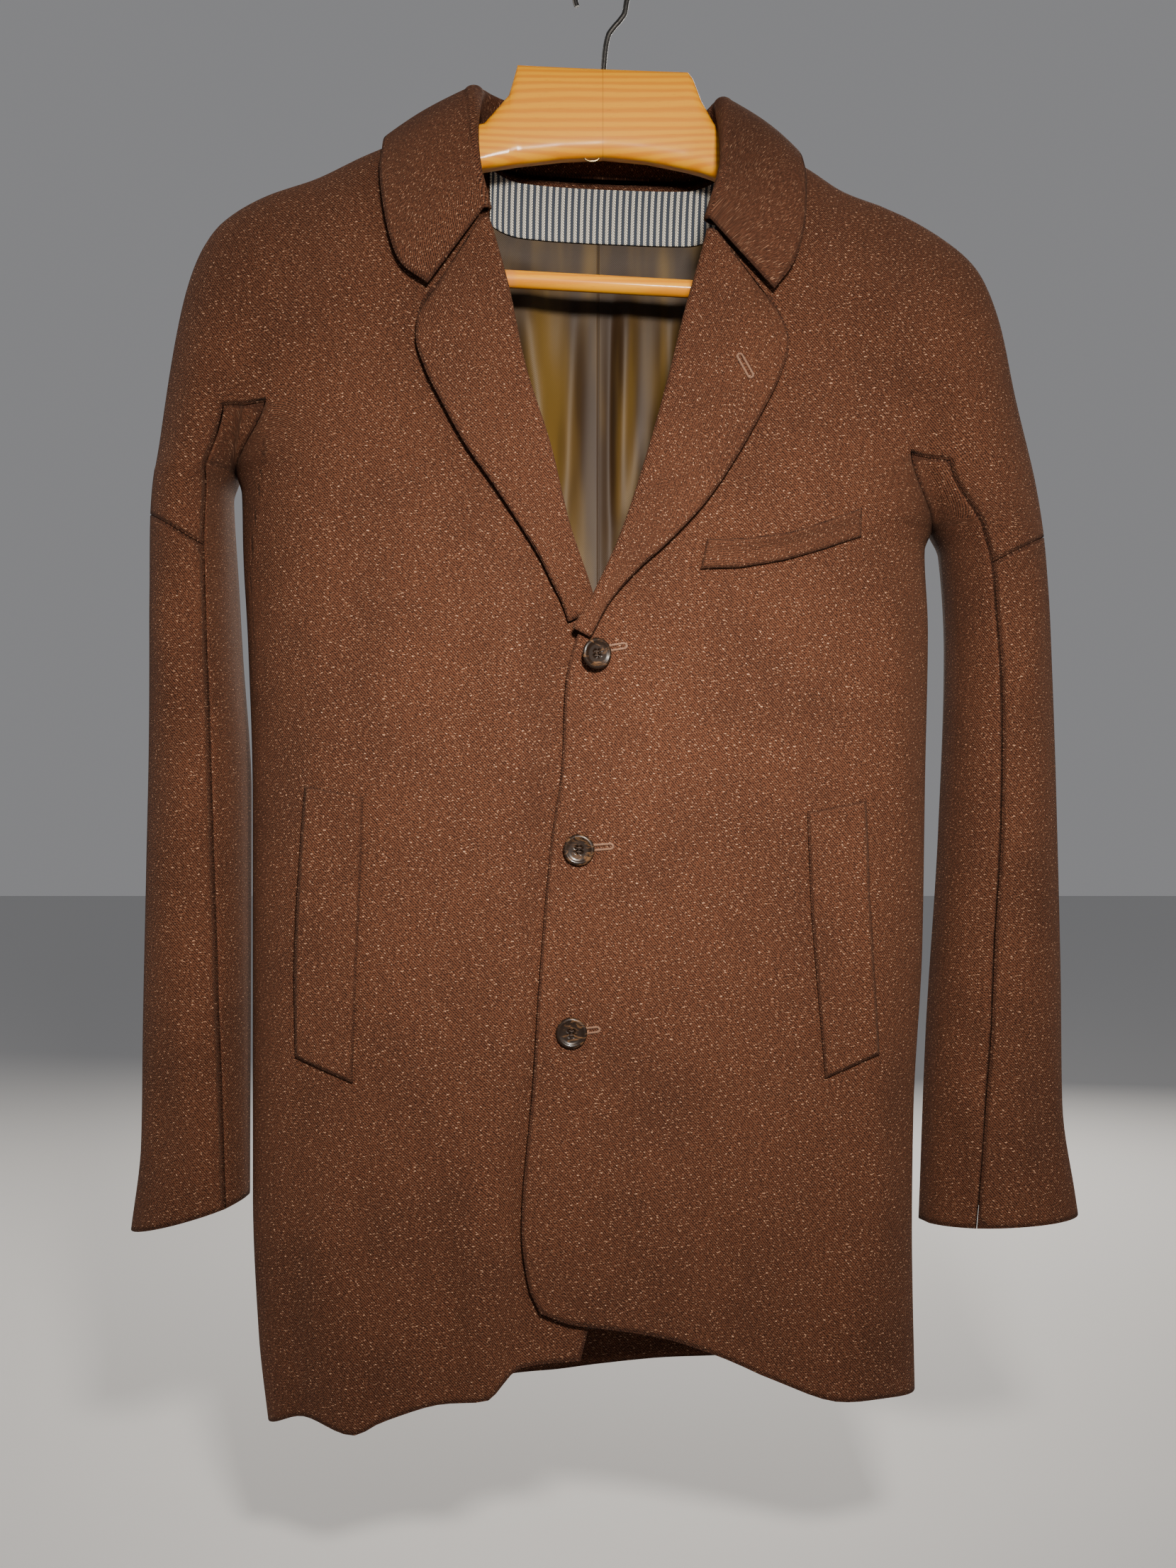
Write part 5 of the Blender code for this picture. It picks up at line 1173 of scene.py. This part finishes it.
def build_welts(look, finish):
    """Pocket welts: layers on the fronts, full in the middle and thinner at their edges.

    They lie off the front by a base, a wall rounded towards its edges, and a half sine along the mouth.
    """
    made = {}
    across, down = spaced(WELT_GRID[1])[None, :], spaced(WELT_GRID[0] - 1)[:, None]
    for name, listed in WELTS.items():
        knots = np.arange(len(listed["x0"]))
        x0, z0, x1, z1 = (np.interp(down * knots[-1], knots, column)
                          for column in columns_of(listed, "x0 z0 x1 z1"))
        grid = front_sheet(x0 + (x1 - x0) * across, z0 + (z1 - z0) * across)
        length = math.hypot(x0[-1, 0] - x0[0, 0], z0[-1, 0] - z0[0, 0])
        inside = np.minimum(np.minimum(across, 1 - across) * np.hypot(x1 - x0, z1 - z0),
                            np.minimum(down, 1 - down) * length)
        lift = WELT_OFF + WELT_WALL * (WELT_EDGE + (1 - WELT_EDGE) * arch(inside / WELT_ROUND))
        lift = lift + GAPE * np.sin(math.pi * down) * (1 - np.abs(across - OPEN_EDGE[name])) ** 3
        if np.cross(grid[1, 0] - grid[0, 0], grid[0, 1] - grid[0, 0])[1] > 0:
            grid, lift = grid[:, ::-1], lift[:, ::-1]
        raised = grid + grid_normals(grid) * lift[..., None]
        made[name] = cloth_piece(name, [raised], WELT_WALL * WELT_LAYER, finish, look)
    return made


def hanger_loft(stations):
    """Sections of the hanger's body: squared rounds between its upper and lower edge."""
    angles = np.linspace(0, 2 * math.pi, WOOD_SIDES, endpoint=False)
    rings = []
    for x in stations:
        side, out = "left" if x < 0 else "right", abs(x)
        if out < ARM_START:
            top, bottom = (np.interp(x, BLOCK["x"], BLOCK[edge]) for edge in ("top", "bottom"))
        else:
            top = at(OUTLINE[side], "x", out, "z") - ARM_UNDER
            bottom = np.interp(out, ARM_FOOT["x"], ARM_FOOT[side])
        depth = np.interp(out, [ARM_START, ARM_END], [BLOCK_DEPTH, ARM_END_DEPTH])
        centre = float(middle(side, out, np.array(top), "upper"))
        power = np.interp(out, [ARM_START, ARM_START + ARM_TURN], [SQUARE, 1])
        y = np.sign(np.cos(angles)) * np.abs(np.cos(angles)) ** SQUARE
        z = np.sign(np.sin(angles)) * np.abs(np.sin(angles)) ** power
        z = (top + bottom) / 2 + (top - bottom) / 2 * z
        rings.append(np.stack([x + 0 * y, centre + depth * y, z], axis=-1))
    return np.array(rings)


def build_hanger(wood, bar_wood, steel, brass):
    """Hanger: lofted body, round bar, wire hook and the small staple under the block."""
    arms = refined(np.array(ARM_STATIONS) * MM, WOOD_STEPS)
    stations = np.concatenate([-arms[::-1], refined(BLOCK["x"], WOOD_STEPS)[1:-1], arms])
    x = np.linspace(-BAR["half_length"], BAR["half_length"], BAR_GRID[0])
    bar_path = np.stack([x, 0 * x, BAR["z"] - BAR["slope"] * x], axis=-1)
    angles = np.radians(np.linspace(HOOK_LOOP["start"], HOOK_LOOP["end"], HOOK_GRID[1]))
    loop_x = HOOK_LOOP["x"] + HOOK_LOOP["radius"] * np.cos(angles)
    loop_z = HOOK_LOOP["z"] + HOOK_LOOP["radius"] * np.sin(angles)
    knots_z = np.append(HOOK_STEM["z"], loop_z[0])
    stem_z = np.linspace(knots_z[0], knots_z[-1], HOOK_GRID[0])[:-1]
    stem_x = curve(stem_z, knots_z, np.append(HOOK_STEM["x"], loop_x[0]))
    x, z = np.concatenate([stem_x, loop_x]), np.concatenate([stem_z, loop_z])
    wire_path = np.stack([x, 0 * x, z], axis=-1)
    for name, body, finish, part in (
            ("hanger_body", ringed(hanger_loft(stations)), wood, "wood"),
            ("hanger_bar", tube(bar_path, BAR["radius"], BAR_GRID[1]), bar_wood, "wood"),
            ("hanger_hook", tube(wire_path, WIRE, HOOK_GRID[2]), steel, "steel")):
        piece = shown(name, *body, finish, sharp=SHARP)
        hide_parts(name)
    turn = np.linspace(0, math.pi, STAPLE["steps"])
    path = np.stack([STAPLE["x"] - STAPLE["half"] * np.cos(turn), 0 * turn + STAPLE["y"],
                     STAPLE["z"] - STAPLE["half"] * 0.5 * np.sin(turn)], axis=-1)
    shown("hanger_staple", *tube(path, STAPLE["radius"], STAPLE["sides"]), brass)


def arithmetic(operation, other_first=False):
    """Method that joins a socket and another socket or number in a Math node."""
    def joined(self, other):
        first, second = (other, self) if other_first else (self, other)
        return self.finish.node("ShaderNodeMath", {"operation": operation}, {0: first, 1: second})
    return joined


class Wire:
    """Socket of a shader node. Arithmetic on it adds Math nodes."""

    def __init__(self, finish, socket):
        self.finish, self.socket = finish, socket

    __add__, __radd__ = arithmetic("ADD"), arithmetic("ADD", True)
    __sub__, __rsub__ = arithmetic("SUBTRACT"), arithmetic("SUBTRACT", True)
    __mul__, __rmul__ = arithmetic("MULTIPLY"), arithmetic("MULTIPLY", True)


class Finish:
    """Material with one Principled shader; constants go on its sockets, varying values are fed to it."""

    def __init__(self, name, **constants):
        self.material = bpy.data.materials.new(name)
        self.material.use_nodes = True
        self.tree = self.material.node_tree
        self.shader = self.tree.nodes["Principled BSDF"]
        for socket, value in constants.items():
            self.shader.inputs[socket.replace("_", " ")].default_value = value

    def node(self, kind, settings=None, values=None, output=0):
        """New node: settings first, then values or links for its sockets; gives one of its outputs."""
        made = self.tree.nodes.new(kind)
        for key, value in (settings or {}).items():
            setattr(made, key, value)
        for key, value in (values or {}).items():
            if isinstance(value, Wire):
                self.tree.links.new(value.socket, made.inputs[key])
            else:
                made.inputs[key].default_value = value
        return Wire(self, made.outputs[output])

    def feed(self, **wires):
        """Links sockets of the shader; gives the finished material."""
        for socket, wire in wires.items():
            self.tree.links.new(wire.socket, self.shader.inputs[socket.replace("_", " ")])
        return self.material

    def place(self):
        """Object coordinates."""
        return self.node("ShaderNodeTexCoord", output=3)

    def cloth(self):
        """Place in the flat cloth: lengths across and down in metres."""
        return self.node("ShaderNodeUVMap", {"uv_map": "cloth"})

    def seam(self):
        """Distance from the nearest seam or cut edge."""
        return self.node("ShaderNodeAttribute", {"attribute_name": "seam"}, output=2)

    def parts(self, vector):
        """The three numbers of a vector."""
        split = self.tree.nodes.new("ShaderNodeSeparateXYZ")
        self.tree.links.new(vector.socket, split.inputs[0])
        return [Wire(self, output) for output in split.outputs]

    def scaled(self, vector, scale, turn=0.0):
        """Coordinates turned and then scaled, so that a pattern is stretched along its own way."""
        return self.node("ShaderNodeMapping", {"vector_type": "POINT"},
                         {"Vector": vector, "Rotation": (0, 0, turn), "Scale": scale})

    def noise(self, vector, scale, detail=2.0, rough=0.5, distort=0.0):
        return self.node("ShaderNodeTexNoise", {}, {"Vector": vector, "Scale": scale, "Detail": detail,
                                                    "Roughness": rough, "Distortion": distort})

    def step(self, value, low, high):
        """0 below low, 1 above high, smooth between."""
        return self.node("ShaderNodeMapRange", {"interpolation_type": "SMOOTHSTEP"},
                         {0: value, 1: low, 2: high})

    def wave(self, value, length):
        """Sine of a length, 0 to 1 and back once per wave length."""
        turned_value = value * (2 * math.pi / length)
        return self.node("ShaderNodeMath", {"operation": "SINE"}, {0: turned_value}) * 0.5 + 0.5

    def size(self, value):
        """A number without its sign."""
        return self.node("ShaderNodeMath", {"operation": "ABSOLUTE"}, {0: value})

    def mix(self, factor, low, high):
        return self.node("ShaderNodeMix", {"data_type": "RGBA"}, {0: factor, 6: low, 7: high}, 2)

    def bump(self, height, distance, strength=1.0):
        return self.node("ShaderNodeBump", {}, {"Height": height, "Distance": distance, "Strength": strength})


def wool_finish(colours):
    """Napped twill: short yarns on the slant, light flecks among them, soft mottling, and painted shade along
    seams and cut edges.
    """
    made = Finish("brown_wool", Roughness=0.88, Sheen_Weight=0.05, Sheen_Roughness=0.5,
                  Sheen_Tint=(0.8, 0.45, 0.3, 1), Specular_IOR_Level=0.15)
    cloth, place, seam = made.cloth(), made.place(), made.seam()
    yarn = made.noise(made.scaled(cloth, (430, 1150, 1), 0.75), 1.0, 2.0, 0.55)
    grain = made.noise(made.scaled(cloth, (1400, 1700, 1), -0.5), 1.0, 2.0, 0.6)
    across, down, _ = made.parts(cloth)
    twill = made.wave(across - down * 0.9 + yarn * 0.0012, WOOL_RIB)
    mottle = made.noise(place, 14.0, 3.0, 0.55)
    weave = yarn * 0.55 + grain * 0.25 + twill * 0.2
    ground = made.mix(made.step(weave, 0.36, 0.64), colours.wool_dark_and_seam_shade, colours.wool_ground)
    ground = made.mix(made.step(mottle, 0.35, 0.75) * 0.3, ground, colours.wool_dark_and_seam_shade)
    fleck = made.step(made.noise(made.scaled(cloth, (620, 1250, 1), 0.6), 1.0, 2.0, 0.65), 0.53, 0.68)
    pale = made.step(made.noise(made.scaled(cloth, (420, 900, 1), 0.4), 1.0, 1.0, 0.5), 0.63, 0.74)
    ground = made.mix(fleck * 0.55, ground, colours.wool_fleck)
    ground = made.mix(pale * 0.6, ground, colours.wool_pale)
    # Painted shade: the cloth darkens within a few millimetres of every seam and cut edge
    painted_seam_shade = 1 - made.step(seam, 0.0003, 0.0024)
    ground = made.mix(painted_seam_shade * 0.5, ground, colours.wool_dark_and_seam_shade)
    pucker = made.noise(made.scaled(place, (70, 70, 70)), 1.0, 2.0) * (1 - made.step(seam, 0.001, 0.014))
    height = weave * 0.9 + fleck * 0.3 + made.step(seam, 0.0, 0.0035) * 1.2 + pucker * 2.0
    return made.feed(Base_Color=ground, Normal=made.bump(height, 0.0011, 1.0))


def lining_finish(colours):
    """Satin twill: a fine slanting rib, upright streaks from brown to olive that are painted satin highlight
    and shade, a seam down its centre.
    """
    made = Finish("olive_lining", Roughness=0.5, Specular_IOR_Level=0.22, Sheen_Weight=0.05)
    cloth, place = made.cloth(), made.place()
    across, down, _ = made.parts(cloth)
    rib = made.wave(across * 0.9 + down, LINING_RIB)
    # Painted satin highlight and shade: upright streaks between the cloth's dark and its highlit colour
    shade = made.noise(made.scaled(place, (30, 30, 3)), 1.0, 3.0, 0.55)
    base = made.mix(made.step(shade, 0.36, 0.62), colours.lining_dark_and_painted_shade, colours.lining_painted_highlight)
    base = made.mix(rib * 0.25, base, colours.lining_dark_and_painted_shade)
    x, _, _ = made.parts(place)
    stitched = 1 - made.step(made.size(x - LINING_SEAM), 0.0002, 0.0011)
    base = made.mix(stitched * 0.7, base, colours.lining_dark_and_painted_shade)
    height = rib * 0.3 - stitched * 1.5
    return made.feed(Base_Color=base, Normal=made.bump(height, 0.0004, 0.6))


def tape_finish(colours):
    """Striped tape: pale twisted ropes on dark ground, the twist turning back on itself in each stripe, each
    turn painted shaded on one side and lit on the other.
    """
    made = Finish("striped_tape", Roughness=0.85, Specular_IOR_Level=0.2, Sheen_Weight=0.1)
    cloth = made.cloth()
    across, down, _ = made.parts(cloth)
    stripe = made.wave(across, TAPE_STRIPE)
    rope = made.wave(down + made.wave(across, TAPE_STRIPE * 2) * 0.006, TAPE_TWIST)
    pale = made.step(stripe, 0.4, 0.56)
    worn = made.noise(made.scaled(cloth, (900, 900, 1)), 1.0, 2.0)
    # Painted shade: along each turn of the rope the yarn goes from its shaded to its lit colour
    lit = made.mix(made.step(rope + worn * 0.3, 0.3, 0.75), colours.tape_yarn_painted_shade, colours.tape_pale)
    base = made.mix(pale, colours.tape_dark, lit)
    height = pale * (0.6 + rope * 0.8) + worn * 0.3
    return made.feed(Base_Color=base, Normal=made.bump(height, 0.0006, 0.8))


def horn_finish(colours):
    """Polished horn: dark ground with a tan swirl."""
    made = Finish("dark_horn", Coat_Weight=0.15, Coat_Roughness=0.12, Roughness=0.34,
                  Specular_IOR_Level=0.22)
    place = made.place()
    swirl = made.noise(made.scaled(place, (90, 60, 220), 0.0), 1.0, 4.0, 0.6, 1.6)
    base = made.mix(made.step(swirl, 0.5, 0.68), colours.horn_dark, colours.horn_tan)
    return made.feed(Base_Color=base)


def wood_finish(colours, name, joint, ends):
    """Lacquered pale wood: grain lines along the hanger, fine streaks and pores.

    joint draws the thin line where the block's halves are glued; ends darkens the bar's ends.
    """
    made = Finish(name, Coat_Weight=0.15, Coat_Roughness=0.12, Roughness=0.45, Specular_IOR_Level=0.15)
    place = made.place()
    x, y, z = made.parts(place)
    warp = made.noise(made.scaled(place, (3, 12, 14)), 1.0, 2.0)
    lines = made.wave(z + y * 0.6 + warp * 0.03 + x * 0.02, WOOD_GRAIN)
    fine = made.noise(made.scaled(place, (60, 700, 1300)), 1.0, 3.0, 0.6)
    base = made.mix(made.step(lines * 0.6 + fine * 0.5, 0.3, 0.85), colours.wood_light, colours.wood_deep)
    pores = made.step(made.noise(made.scaled(place, (140, 1600, 2400)), 1.0, 2.0), 0.66, 0.74)
    base = made.mix(pores * 0.35, base, colours.wood_line)
    out = made.size(x - BLOCK_JOINT)
    if joint:
        line = 1 - made.step(out, 0.00018, 0.0005)
        base = made.mix(line * 0.5, base, colours.wood_line)
    if ends:
        base = made.mix(made.step(out, 0.058, 0.064) * 0.5, base, colours.wood_end)
    return made.feed(Base_Color=base, Normal=made.bump(fine * 0.6 + lines * 0.3, 0.0002, 0.35))


def plain_finish(name, colour, grain, **constants):
    """One colour, a little uneven, with a fine grain in its surface."""
    made = Finish(name, **constants)
    spots = made.noise(made.place(), grain, 3.0, 0.6)
    base = made.mix(spots * 0.5, colour, tuple(c * 0.55 for c in colour[:3]) + (1,))
    return made.feed(Base_Color=base, Normal=made.bump(spots, 0.0003, 0.4))


def shared_wool(scene):
    """Finish of the coat cloth, made once."""
    return bpy.data.materials.get("brown_wool") or wool_finish(scene.jacket_colours)


def colour(name, note, red, green, blue):
    """Colour property with its linear default."""
    return bpy.props.FloatVectorProperty(name=name, description=note, subtype="COLOR", size=4, min=0, max=1,
                                         default=(red, green, blue, 1))


def linked(scene, name, data):
    """Object that holds some data, in the scene."""
    made = bpy.data.objects.new(name, data)
    scene.collection.objects.link(made)
    return made


class JacketLook(bpy.types.PropertyGroup):
    """Sizes that a user would change."""

    wall: bpy.props.FloatProperty(
        name="Cloth thickness", description="Wall of the coat cloth", default=WALL, min=0.001, max=0.003,
        unit="LENGTH")
    edge_round: bpy.props.FloatProperty(
        name="Edge rounding", description="Rounding of the cloth's cut edges", default=0.8 * MM, min=0.0001,
        max=0.0012, unit="LENGTH")


class JacketColours(bpy.types.PropertyGroup):
    """Colours of the finishes."""

    wool_ground: colour("Wool ground", "Lit yarns of the coat cloth", 0.112, 0.040, 0.019)
    # Dark of the yarn gaps and the mottling, and the painted shade along seams and cut edges
    wool_dark_and_seam_shade: colour("Wool shade", "Gaps between the yarns", 0.014, 0.0045, 0.0025)
    wool_fleck: colour("Wool fleck", "Warm light slubs", 0.27, 0.115, 0.06)
    wool_pale: colour("Wool pale fleck", "Palest slubs", 0.62, 0.36, 0.22)
    # Painted satin highlight on the lining's streaks
    lining_painted_highlight: colour("Lining light", "Olive side of the lining", 0.115, 0.066, 0.012)
    # Dark of the lining for its rib and seam line, and the painted shade between the highlights
    lining_dark_and_painted_shade: colour("Lining shade", "Brown side of the lining", 0.024, 0.011, 0.003)
    tape_dark: colour("Tape ground", "Dark ground of the neck tape", 0.045, 0.055, 0.075)
    tape_yarn_painted_shade: colour("Tape yarn shade", "Shaded side of the pale yarns", 0.2, 0.2, 0.2)
    tape_pale: colour("Tape yarn", "Pale yarns of the neck tape", 0.9, 0.84, 0.7)
    thread: colour("Thread", "Buttonhole thread", 0.17, 0.078, 0.038)
    button_thread: colour("Button thread", "Thread that holds the buttons", 0.05, 0.03, 0.02)
    horn_dark: colour("Horn", "Dark ground of the buttons", 0.012, 0.0065, 0.004)
    horn_tan: colour("Horn swirl", "Tan swirl of the buttons", 0.10, 0.05, 0.022)
    wood_light: colour("Wood", "Ground of the hanger's wood", 0.80, 0.34, 0.004)
    wood_deep: colour("Wood grain", "Grain lines of the hanger", 0.68, 0.24, 0.003)
    wood_line: colour("Wood pores", "Pores and the joint line", 0.36, 0.12, 0.012)
    wood_end: colour("Bar ends", "Darker ends of the bar", 0.55, 0.2, 0.07)
    steel: colour("Hook wire", "Plated wire", 0.10, 0.095, 0.09)
    brass: colour("Staple", "Brass staple", 0.62, 0.45, 0.20)


class JacketStage(bpy.types.PropertyGroup):
    """Camera, floor and light."""

    lens: bpy.props.FloatProperty(name="Lens", description="Focal length in millimetres", default=45.0)
    floor: bpy.props.FloatProperty(
        name="Floor height", description="Height of the floor under the hook", default=-1.16, unit="LENGTH")
    key: bpy.props.FloatProperty(
        name="Key light", description="Power that the lights' shares refer to", default=30.0, unit="POWER")


def declare(made):
    """Hides the imported solid of each cloth piece."""
    for name, piece in made.items():
        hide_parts(name)


class JACKET_OT_panels(bpy.types.Operator):
    """Make the fronts, the back and the sleeves."""

    bl_idname = "jacket.panels"
    bl_label = "Fronts, back and sleeves"

    def execute(self, context):
        scene = context.scene
        declare(build_panels(scene.jacket_look, shared_wool(scene)))
        return {"FINISHED"}


class JACKET_OT_collar(bpy.types.Operator):
    """Make the collar and the lapels."""

    bl_idname = "jacket.collar"
    bl_label = "Collar and lapels"

    def execute(self, context):
        scene = context.scene
        declare(build_collar(scene.jacket_look, shared_wool(scene)))
        return {"FINISHED"}


class JACKET_OT_inside(bpy.types.Operator):
    """Make the striped neck tape and the back lining."""

    bl_idname = "jacket.inside"
    bl_label = "Neck tape and lining"

    def execute(self, context):
        colours = context.scene.jacket_colours
        made = build_inside(tape_finish(colours), lining_finish(colours), context.scene.jacket_look)
        for name, part in (("neck_band", "stripe"), ("lining_back", "lining")):
            declare({name: made[name]})
        return {"FINISHED"}


class JACKET_OT_pockets(bpy.types.Operator):
    """Make the pocket welts."""

    bl_idname = "jacket.pockets"
    bl_label = "Pocket welts"

    def execute(self, context):
        scene = context.scene
        declare(build_welts(scene.jacket_look, shared_wool(scene)))
        return {"FINISHED"}


class JACKET_OT_fastenings(bpy.types.Operator):
    """Make the buttons, their thread and the worked buttonholes."""

    bl_idname = "jacket.fastenings"
    bl_label = "Buttons and buttonholes"

    def execute(self, context):
        colours = context.scene.jacket_colours
        build_buttons(horn_finish(colours),
                      plain_finish("button_thread", tuple(colours.button_thread), 900.0, Roughness=0.8))
        build_buttonholes(plain_finish("buttonhole_thread", tuple(colours.thread), 1400.0, Roughness=0.7,
                                       Sheen_Weight=0.2))
        return {"FINISHED"}


class JACKET_OT_hanger(bpy.types.Operator):
    """Make the wooden hanger with its bar, hook and staple."""

    bl_idname = "jacket.hanger"
    bl_label = "Hanger"

    def execute(self, context):
        colours = context.scene.jacket_colours
        build_hanger(
            wood_finish(colours, "hanger_wood", True, False), wood_finish(colours, "bar_wood", False, True),
            plain_finish("hook_wire", tuple(colours.steel), 300.0, Metallic=1.0, Roughness=0.32),
            plain_finish("staple_brass", tuple(colours.brass), 300.0, Metallic=1.0, Roughness=0.25))
        return {"FINISHED"}


class JACKET_OT_stage(bpy.types.Operator):
    """Make the camera, the floor and the lights."""

    bl_idname = "jacket.stage"
    bl_label = "Camera, floor and light"

    def execute(self, context):
        scene, stage = context.scene, context.scene.jacket_stage
        lens = bpy.data.cameras.new("camera")
        lens.lens, lens.sensor_width = stage.lens, SENSOR
        scene.camera = linked(scene, "camera", lens)
        scene.camera.location, scene.camera.rotation_euler = CAMERA_PLACE, (math.radians(90), 0, 0)
        for name, place, size, power, spread in LIGHTS:
            lamp = bpy.data.lights.new(name, "AREA")
            lamp.shape, lamp.size, lamp.energy = "DISK", size, power * stage.key
            lamp.color, lamp.spread = LIGHT_TINT, math.radians(spread)
            made = linked(scene, name, lamp)
            made.location = place
            made.rotation_euler = (Vector(LIT_POINT) - Vector(place)).to_track_quat("-Z", "Y").to_euler()
        mesh = bpy.data.meshes.new("floor")
        mesh.from_pydata([(x * FLOOR_HALF, y * FLOOR_HALF, stage.floor)
                          for x, y in ((-1, -1), (1, -1), (1, 1), (-1, 1))], [], [(0, 1, 2, 3)])
        mesh.materials.append(Finish("pale_floor", Base_Color=FLOOR_COLOUR, Roughness=0.9).material)
        linked(scene, "floor", mesh)
        world = bpy.data.worlds.new("studio")
        world.use_nodes = True
        light = world.node_tree.nodes["Background"].inputs
        light["Color"].default_value, light["Strength"].default_value = STUDIO_COLOUR, STUDIO_STRENGTH
        scene.world = world
        return {"FINISHED"}


class JACKET_PT_panel(bpy.types.Panel):
    """Sizes, colours and the operators in their order."""

    bl_idname = "JACKET_PT_panel"
    bl_label = "Wool jacket"
    bl_space_type = "VIEW_3D"
    bl_region_type = "UI"
    bl_category = "Jacket"

    def draw(self, context):
        layout = self.layout
        for group in (context.scene.jacket_look, context.scene.jacket_colours, context.scene.jacket_stage):
            for key in type(group).__annotations__:
                layout.prop(group, key)
        for step in STEPS:
            layout.operator(step.bl_idname)


STEPS = (JACKET_OT_panels, JACKET_OT_collar, JACKET_OT_inside, JACKET_OT_pockets, JACKET_OT_fastenings,
         JACKET_OT_hanger, JACKET_OT_stage)
GROUPS = {"jacket_look": JacketLook, "jacket_colours": JacketColours, "jacket_stage": JacketStage}


def register():
    """Makes the properties, the operators and the panel known."""
    for group in GROUPS.values():
        bpy.utils.register_class(group)
    for name, group in GROUPS.items():
        setattr(bpy.types.Scene, name, bpy.props.PointerProperty(type=group))
    for step in STEPS:
        bpy.utils.register_class(step)
    bpy.utils.register_class(JACKET_PT_panel)


def unregister():
    """Takes them away again, in the other order."""
    bpy.utils.unregister_class(JACKET_PT_panel)
    for step in reversed(STEPS):
        bpy.utils.unregister_class(step)
    for name in GROUPS:
        delattr(bpy.types.Scene, name)
    for group in reversed(GROUPS.values()):
        bpy.utils.unregister_class(group)


def main():
    register()
    for step in STEPS:
        area, name = step.bl_idname.split(".")
        getattr(getattr(bpy.ops, area), name)()


if __name__ == "__main__":
    main()
